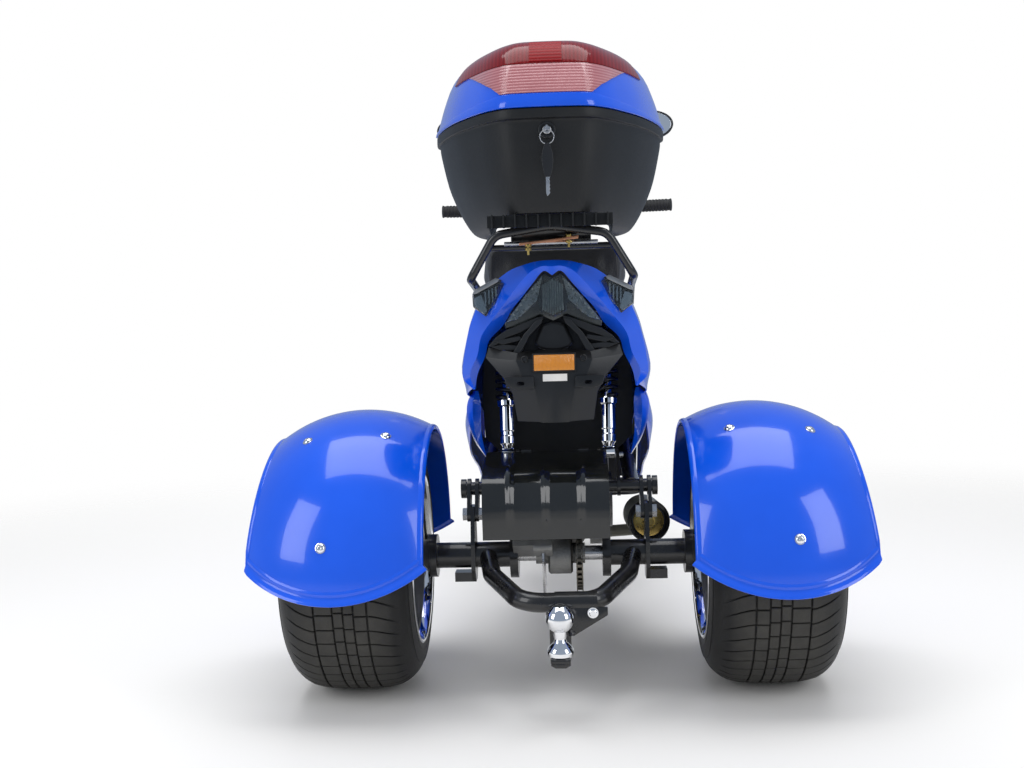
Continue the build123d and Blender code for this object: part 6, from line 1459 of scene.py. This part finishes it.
# %% Rim lips
barrel_rows = (
    (-0.1200, 0.1695), (-0.1228, 0.1690), (-0.1240, 0.1662), (-0.1232, 0.1636), (-0.1195, 0.1618), (-0.1000, 0.1600),
    (-0.0850, 0.1560), (-0.0700, 0.1500), (-0.0400, 0.1440), (-0.0150, 0.1430),
)
for side, body in ((1, "rear_wheel_left"), (-1, "rear_wheel_right")):
    for outer in (1, -1):
        hub = Vector((rear_axle.x, side * rear_y, rear_axle.z))
        rows = barrel_rows if outer > 0 else barrel_rows[:6]
        barrel = turned(f"rim_lip_{body}_{outer}", rows, hub, (0, side * outer, 0), 96)
        with_modifier(barrel, "SOLIDIFY", thickness=0.0012, offset=0.0)
        dressed(barrel, chrome if outer > 0 else alloy, body, 40)

# %% [markdown]
# The muffler's end is a dark ring with a brassy heat-tinted disc and a small outlet in it.

# %% Muffler end
muffler_end = trike_points([(174, -184, 286)])[0]
muffler_axis = (trike_points([(174, -184, 286)])[0] - trike_points([(424, -184, 262)])[0]).normalized()
cap = turned("muffler_cap", ((0.000, 0.0), (0.000, 0.0440), (0.007, 0.0445), (0.010, 0.0420), (0.008, 0.0370), (0.002, 0.0350), (0.002, 0.0)),
             muffler_end, muffler_axis, 48)
dressed(cap, frame_black, "chassis")
disc = turned("muffler_disc", ((0.000, 0.0), (0.000, 0.0330), (0.003, 0.0320), (0.005, 0.0200), (0.005, 0.0130), (0.013, 0.0125),
                               (0.014, 0.0105), (0.006, 0.0100), (0.006, 0.0)), muffler_end, muffler_axis, 40)
dressed(disc, brass, "chassis")

# %% [markdown]
# The rack's tube leaves the body on both sides, runs back level, bends up and inwards and passes
# under the case. Its bends are short curves between straight runs.

# %% Rear rack


def rounded(points, bend):
    """The line with each inner corner replaced by a short curve."""
    line = [points[0]]
    for before, corner, after in zip(points, points[1:], points[2:]):
        start, end = corner + (before - corner).normalized() * bend, corner + (after - corner).normalized() * bend
        line += [start.lerp(corner, step / 5).lerp(corner.lerp(end, step / 5), step / 5) for step in range(6)]
    return line + [points[-1]]


rack_tube_r, rack_bend = 0.0078, 0.016
rack_half = ((58, 150, 742), (40, 152, 778), (-172, 148, 791), (-192, 101, 868), (-200, 0, 882))
rack_line = trike_points([*rack_half, *((dx, -y, z) for dx, y, z in reversed(rack_half[:-1]))])
rack_tube = round_bar("rack_tube", rounded(rack_line, rack_bend), rack_tube_r, False, 16)
rack_cross = round_bar("rack_cross", trike_points([(-178, 114, 846), (-178, -114, 846)]), 0.0055, False, 12)
rack_feet = [round_bar("rack_foot", trike_points([(58, side * 152, 745), (58, side * 96, 736)]), rack_tube_r, False, 12)
             for side in (1, -1)]
case_seat = slab("case_seat", trike_points([(-193, -72, 893), (30, -72, 893), (30, -72, 885), (-170, -72, 885), (-170, -72, 850),
                                            (-177, -72, 850), (-193, -72, 882)]), (0, 0.144, 0), 0.0015)
rack = joined("rack", [rack_tube, rack_cross, *rack_feet, case_seat])
dressed(rack, frame_black, "chassis", 40)
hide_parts("rear_rack")

# %% [markdown]
# The front panels are mouldings too: the apron with its nose, the leg shield that faces the rider
# with a glovebox door, and the side skirts under the body. Each is one skin through level or
# upright stations, smooth both ways, where the solids have flat facets.

# %% Front panels and skirts


def metres(rows):
    """Points from rows of millimetres in the shared frame."""
    return [Vector(row) / 1000 for row in rows]


def both_sides(half, z):
    """A level station from its right edge to its left one; half gives (forward, left) from the edge to the middle."""
    return metres([(x, -y, z) for x, y in half] + [(x, y, z) for x, y in reversed(half) if y])


apron = moulded("apron", [
    both_sides(((382, 190), (440, 186), (520, 160), (590, 112), (626, 56), (634, 0)), 562),
    both_sides(((382, 196), (445, 188), (530, 162), (600, 112), (631, 56), (638, 0)), 600),
    both_sides(((382, 190), (445, 182), (525, 158), (592, 108), (626, 55), (634, 0)), 701),
    both_sides(((364, 168), (405, 164), (460, 143), (510, 100), (546, 50), (554, 0)), 806),
    both_sides(((338, 124), (362, 122), (405, 106), (440, 74), (468, 38), (476, 0)), 866),
], 5, 6, 0.003, (1, 0, 0))
lamp_room = slab("lamp_room", metres([(580, y, z) for y, z in ((-74, 664), (74, 664), (80, 700), (66, 738), (-66, 738), (-80, 700))]),
                 (0.1, 0, 0), 0.008, 3)
with_modifier(apron, "BOOLEAN", object=lamp_room, operation="DIFFERENCE", solver="EXACT")
bpy.data.objects.remove(lamp_room)
dressed(apron, blue, "chassis", 30)
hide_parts("front_apron")

shield_stations = []
for z, middle_x, half_w in ((277, 332, 197), (430, 364, 205), (572, 404, 205), (714, 392, 189), (867, 334, 144)):
    shield_stations.append(both_sides(((middle_x - 46, half_w), (middle_x - 30, half_w - 12), (middle_x - 8, half_w - 38),
                                       (middle_x, half_w / 2), (middle_x + 2, 0)), z))
shield = moulded("shield", shield_stations, 4, 6, 0.004, (1, 0, 0))
dressed(shield, black_plastic, "chassis", 30)
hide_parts("leg_shield")
door = moulded("glovebox_door", [metres([(x, y, z) for y in (-128, -100, -60, -28)])
                                 for z, x in ((628, 393), (660, 393), (700, 389), (740, 381), (762, 374))], 4, 4, 0.005, (-1, 0, 0))
dressed(door, black_satin, "chassis", 30)

skirt_half = moulded("skirts", [trike_points(station) for station in (
    ((178, 184, 512), (176, 187, 502), (178, 185, 492)),
    ((237, 195, 530), (237, 201, 490), (237, 193, 438)),
    ((340, 196, 545), (336, 205, 489), (330, 193, 404)),
    ((433, 195, 551), (433, 205, 486), (428, 191, 376)),
    ((560, 190, 546), (560, 201, 470), (548, 192, 336)),
    ((655, 184, 530), (668, 194, 460), (640, 188, 312)),
)], 5, 6, 0.004, (0, 1, 0), True)
dressed(skirt_half, blue, "chassis", 30)
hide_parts("side_skirts")
print("apron triangles:", triangles(apron), "side panels:", triangles(side_panels))

# %% [markdown]
# The headlight: a dark bowl, two projector lenses in bright rings, a pale running light over them
# and a clear cover that follows the nose.

# %% Headlight
lamp_z, lamp_y = 700, 36
bowl_outline = ((-74, 664), (74, 664), (80, 700), (66, 738), (-66, 738), (-80, 700))
bowl_dx = 574 - rear_axle.x * 1000
bowl = plate("headlight_bowl", bowl_outline, bowl_dx, 26, 4.0)
dressed(bowl, black_satin, "chassis")
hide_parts("headlight")
rings, domes = [], []
for side in (1, -1):
    spot = metres([(600, side * lamp_y, lamp_z - 6)])[0]
    rings.append(turned("lamp_ring", ((0, 0.020), (0, 0.0285), (0.008, 0.0290), (0.010, 0.0275), (0.010, 0.0235), (0.002, 0.020)), spot, (1, 0, 0), 40))
    domes.append(turned("lamp_dome", ((0.0005, 0), (0.0005, 0.0215), (0.006, 0.0200), (0.011, 0.0150), (0.014, 0.0080), (0.015, 0)), spot, (1, 0, 0), 40))
lamp_rings = joined("headlight_rings", rings)
dressed(lamp_rings, chrome, "chassis", 40)
lamp_domes = joined("headlight_lenses", domes)
dressed(lamp_domes, mirror_glass, "chassis", 50)
running_light = plate("running_light", ((-58, 727), (58, 727), (54, 733), (-54, 733)), bowl_dx + 26, 5, 1.5)
dressed(running_light, white_label, "chassis")
cover = moulded("headlight_cover", [both_sides(((x - 24, 78), (x - 8, 60), (x, 30), (x + 1, 0)), z)
                                    for z, x in ((662, 632), (682, 632), (702, 631), (722, 622), (740, 608))], 4, 4, 0.002, (1, 0, 0))
dressed(cover, clear_lens, "chassis", 40)

# %% [markdown]
# The rider's end: a dark display on the cowl, glass in the mirrors, ribbed grips and a ribbed mat
# on the floorboard.

# %% Display, mirrors, grips and mat
rake = math.radians(27)
steer_up, steer_ahead = Vector((-math.sin(rake), 0, math.cos(rake))), Vector((math.cos(rake), 0, math.sin(rake)))
cowl_top = front_axle - steer_ahead * 0.030 + steer_up * 0.8965 + steer_ahead * 0.013
display = slab("display", [cowl_top + steer_ahead * v + Vector((0, y, 0)) for y, v in
                           ((-0.058, -0.020), (0.058, -0.020), (0.062, 0.004), (0.048, 0.022), (-0.048, 0.022), (-0.062, 0.004))],
               steer_up * 0.004, 0.0015)
dressed(display, lamp_dark, "steering")
glasses = []
mirror_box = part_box("mirrors")
for side in (1, -1):
    centre_y, centre_z = side * (mirror_box[1].y * 1000 - 60), mirror_box[1].z * 1000 - 38
    ellipse = [(centre_y + 54 * math.cos(turn / 16 * math.pi), centre_z + 33 * math.sin(turn / 16 * math.pi)) for turn in range(32)]
    glasses.append(plate("mirror_glass", ellipse, (0.3435 - rear_axle.x) * 1000 - 1.2, 1.6, 0.4))
glass = joined("mirror_glasses", glasses)
dressed(glass, mirror_glass, "steering")
grip_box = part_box("grips")
grip_in, grip_out = Vector((0.3150, 0.196, grip_box[1].z - 0.017)), Vector((0.2895, 0.308, grip_box[1].z - 0.017))
grip_profile, ridge_count = [(0, 0.0115), (0, 0.0168), (0.004, 0.0170), (0.006, 0.0152)], 11
for ridge in range(ridge_count):
    start = 0.009 + ridge * 0.0088
    grip_profile += [(start, 0.0150), (start + 0.0012, 0.0162), (start + 0.0058, 0.0162), (start + 0.0070, 0.0150)]
grip_profile += [(0.110, 0.0150), (0.1115, 0.0166), (0.1142, 0.0166), (0.1149, 0.0150), (0.1149, 0.0)]
grip_left = turned("grip", grip_profile, grip_in, grip_out - grip_in, 32)
ribbed_grips = joined("ribbed_grips", [grip_left, mirrored_copy(grip_left, "grip_twin")])
dressed(ribbed_grips, grip_rubber, "steering", 40)
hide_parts("grips")
floor_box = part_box("floorboard")
mat_ribs = [slab("mat_rib", metres([(x, y, floor_box[1].z * 1000 - 0.5) for x, y in
                                    ((150, y - 4), (318, y - 4), (318, y + 4), (150, y + 4))]), (0, 0, 0.0035), 0.0012)
            for y in range(-160, 161, 20)]
mat = joined("floor_mat", mat_ribs)
dressed(mat, grip_rubber, "chassis")

# %% [markdown]
# The seat is a grained vinyl cover drawn over foam. Its skin is remeshed and swollen a little by
# a cloth run under pressure, held along its underside, which gives the crown and the soft edges
# that a modelled solid lacks. The movement is capped, and the stitched seams are laid on it after.

# %% Seat cover
seat = copied(nodes["seat_cushion"], "seat_cover", Matrix())
outward(seat)
with_modifier(seat, "REMESH", mode="VOXEL", voxel_size=0.0055, use_smooth_shade=True)
seat_low_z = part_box("seat_cushion")[0].z
rest = [vertex.co.copy() for vertex in seat.data.vertices]
held = seat.vertex_groups.new(name="held")
held.add([vertex.index for vertex in seat.data.vertices if vertex.normal.z < -0.6], 1.0, "REPLACE")
alone(seat)
cloth = seat.modifiers.new("cloth", "CLOTH")
cloth.settings.use_pressure = True
cloth.settings.uniform_pressure_force = 4.0
cloth.settings.effector_weights.gravity = 0.0
cloth.settings.vertex_group_mass = "held"
cloth.point_cache.frame_start, cloth.point_cache.frame_end = 1, 20
for frame in range(1, 21):
    bpy.context.scene.frame_set(frame)
bpy.ops.object.modifier_apply(modifier=cloth.name)
bpy.context.scene.frame_set(1)
swell_limit = 0.004
for vertex, start in zip(seat.data.vertices, rest):
    move = vertex.co - start
    if move.length > swell_limit:
        vertex.co = start + move.normalized() * swell_limit
with_modifier(seat, "SMOOTH", factor=0.5, iterations=6)
seat_lo, seat_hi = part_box("seat_cushion")
for vertex in seat.data.vertices:
    vertex.co.y = max(min(vertex.co.y, seat_hi.y + 0.003), seat_lo.y - 0.003)


def on_top(x, y):
    """The height of the seat's cover at a place."""
    hit, spot, normal, index = seat.ray_cast(Vector((x, y, 2.0)), Vector((0, 0, -1)))
    return spot.z if hit else None


seams = []
for x_share in (0.33, 0.40):
    x = seat_lo.x + (seat_hi.x - seat_lo.x) * x_share
    line = [(x, y, on_top(x, y)) for y in [seat_lo.y + (seat_hi.y - seat_lo.y) * (0.12 + 0.76 * step / 12) for step in range(13)]]
    seams.append(round_bar("seat_seam", [spot for spot in line if spot[2]], 0.0018, True, 6))
for side in (1, -1):
    line = [(x, side * 0.104, on_top(x, side * 0.104)) for x in [seat_lo.x + (seat_hi.x - seat_lo.x) * (0.04 + 0.86 * step / 20) for step in range(21)]]
    seams.append(round_bar("seat_piping", [spot for spot in line if spot[2]], 0.0018, True, 6))
dressed(seat, seat_vinyl, "seat", 60)
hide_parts("seat_cushion")
dressed(joined("seat_seams", seams), black_satin, "seat", 60)
print("seat triangles:", triangles(seat))
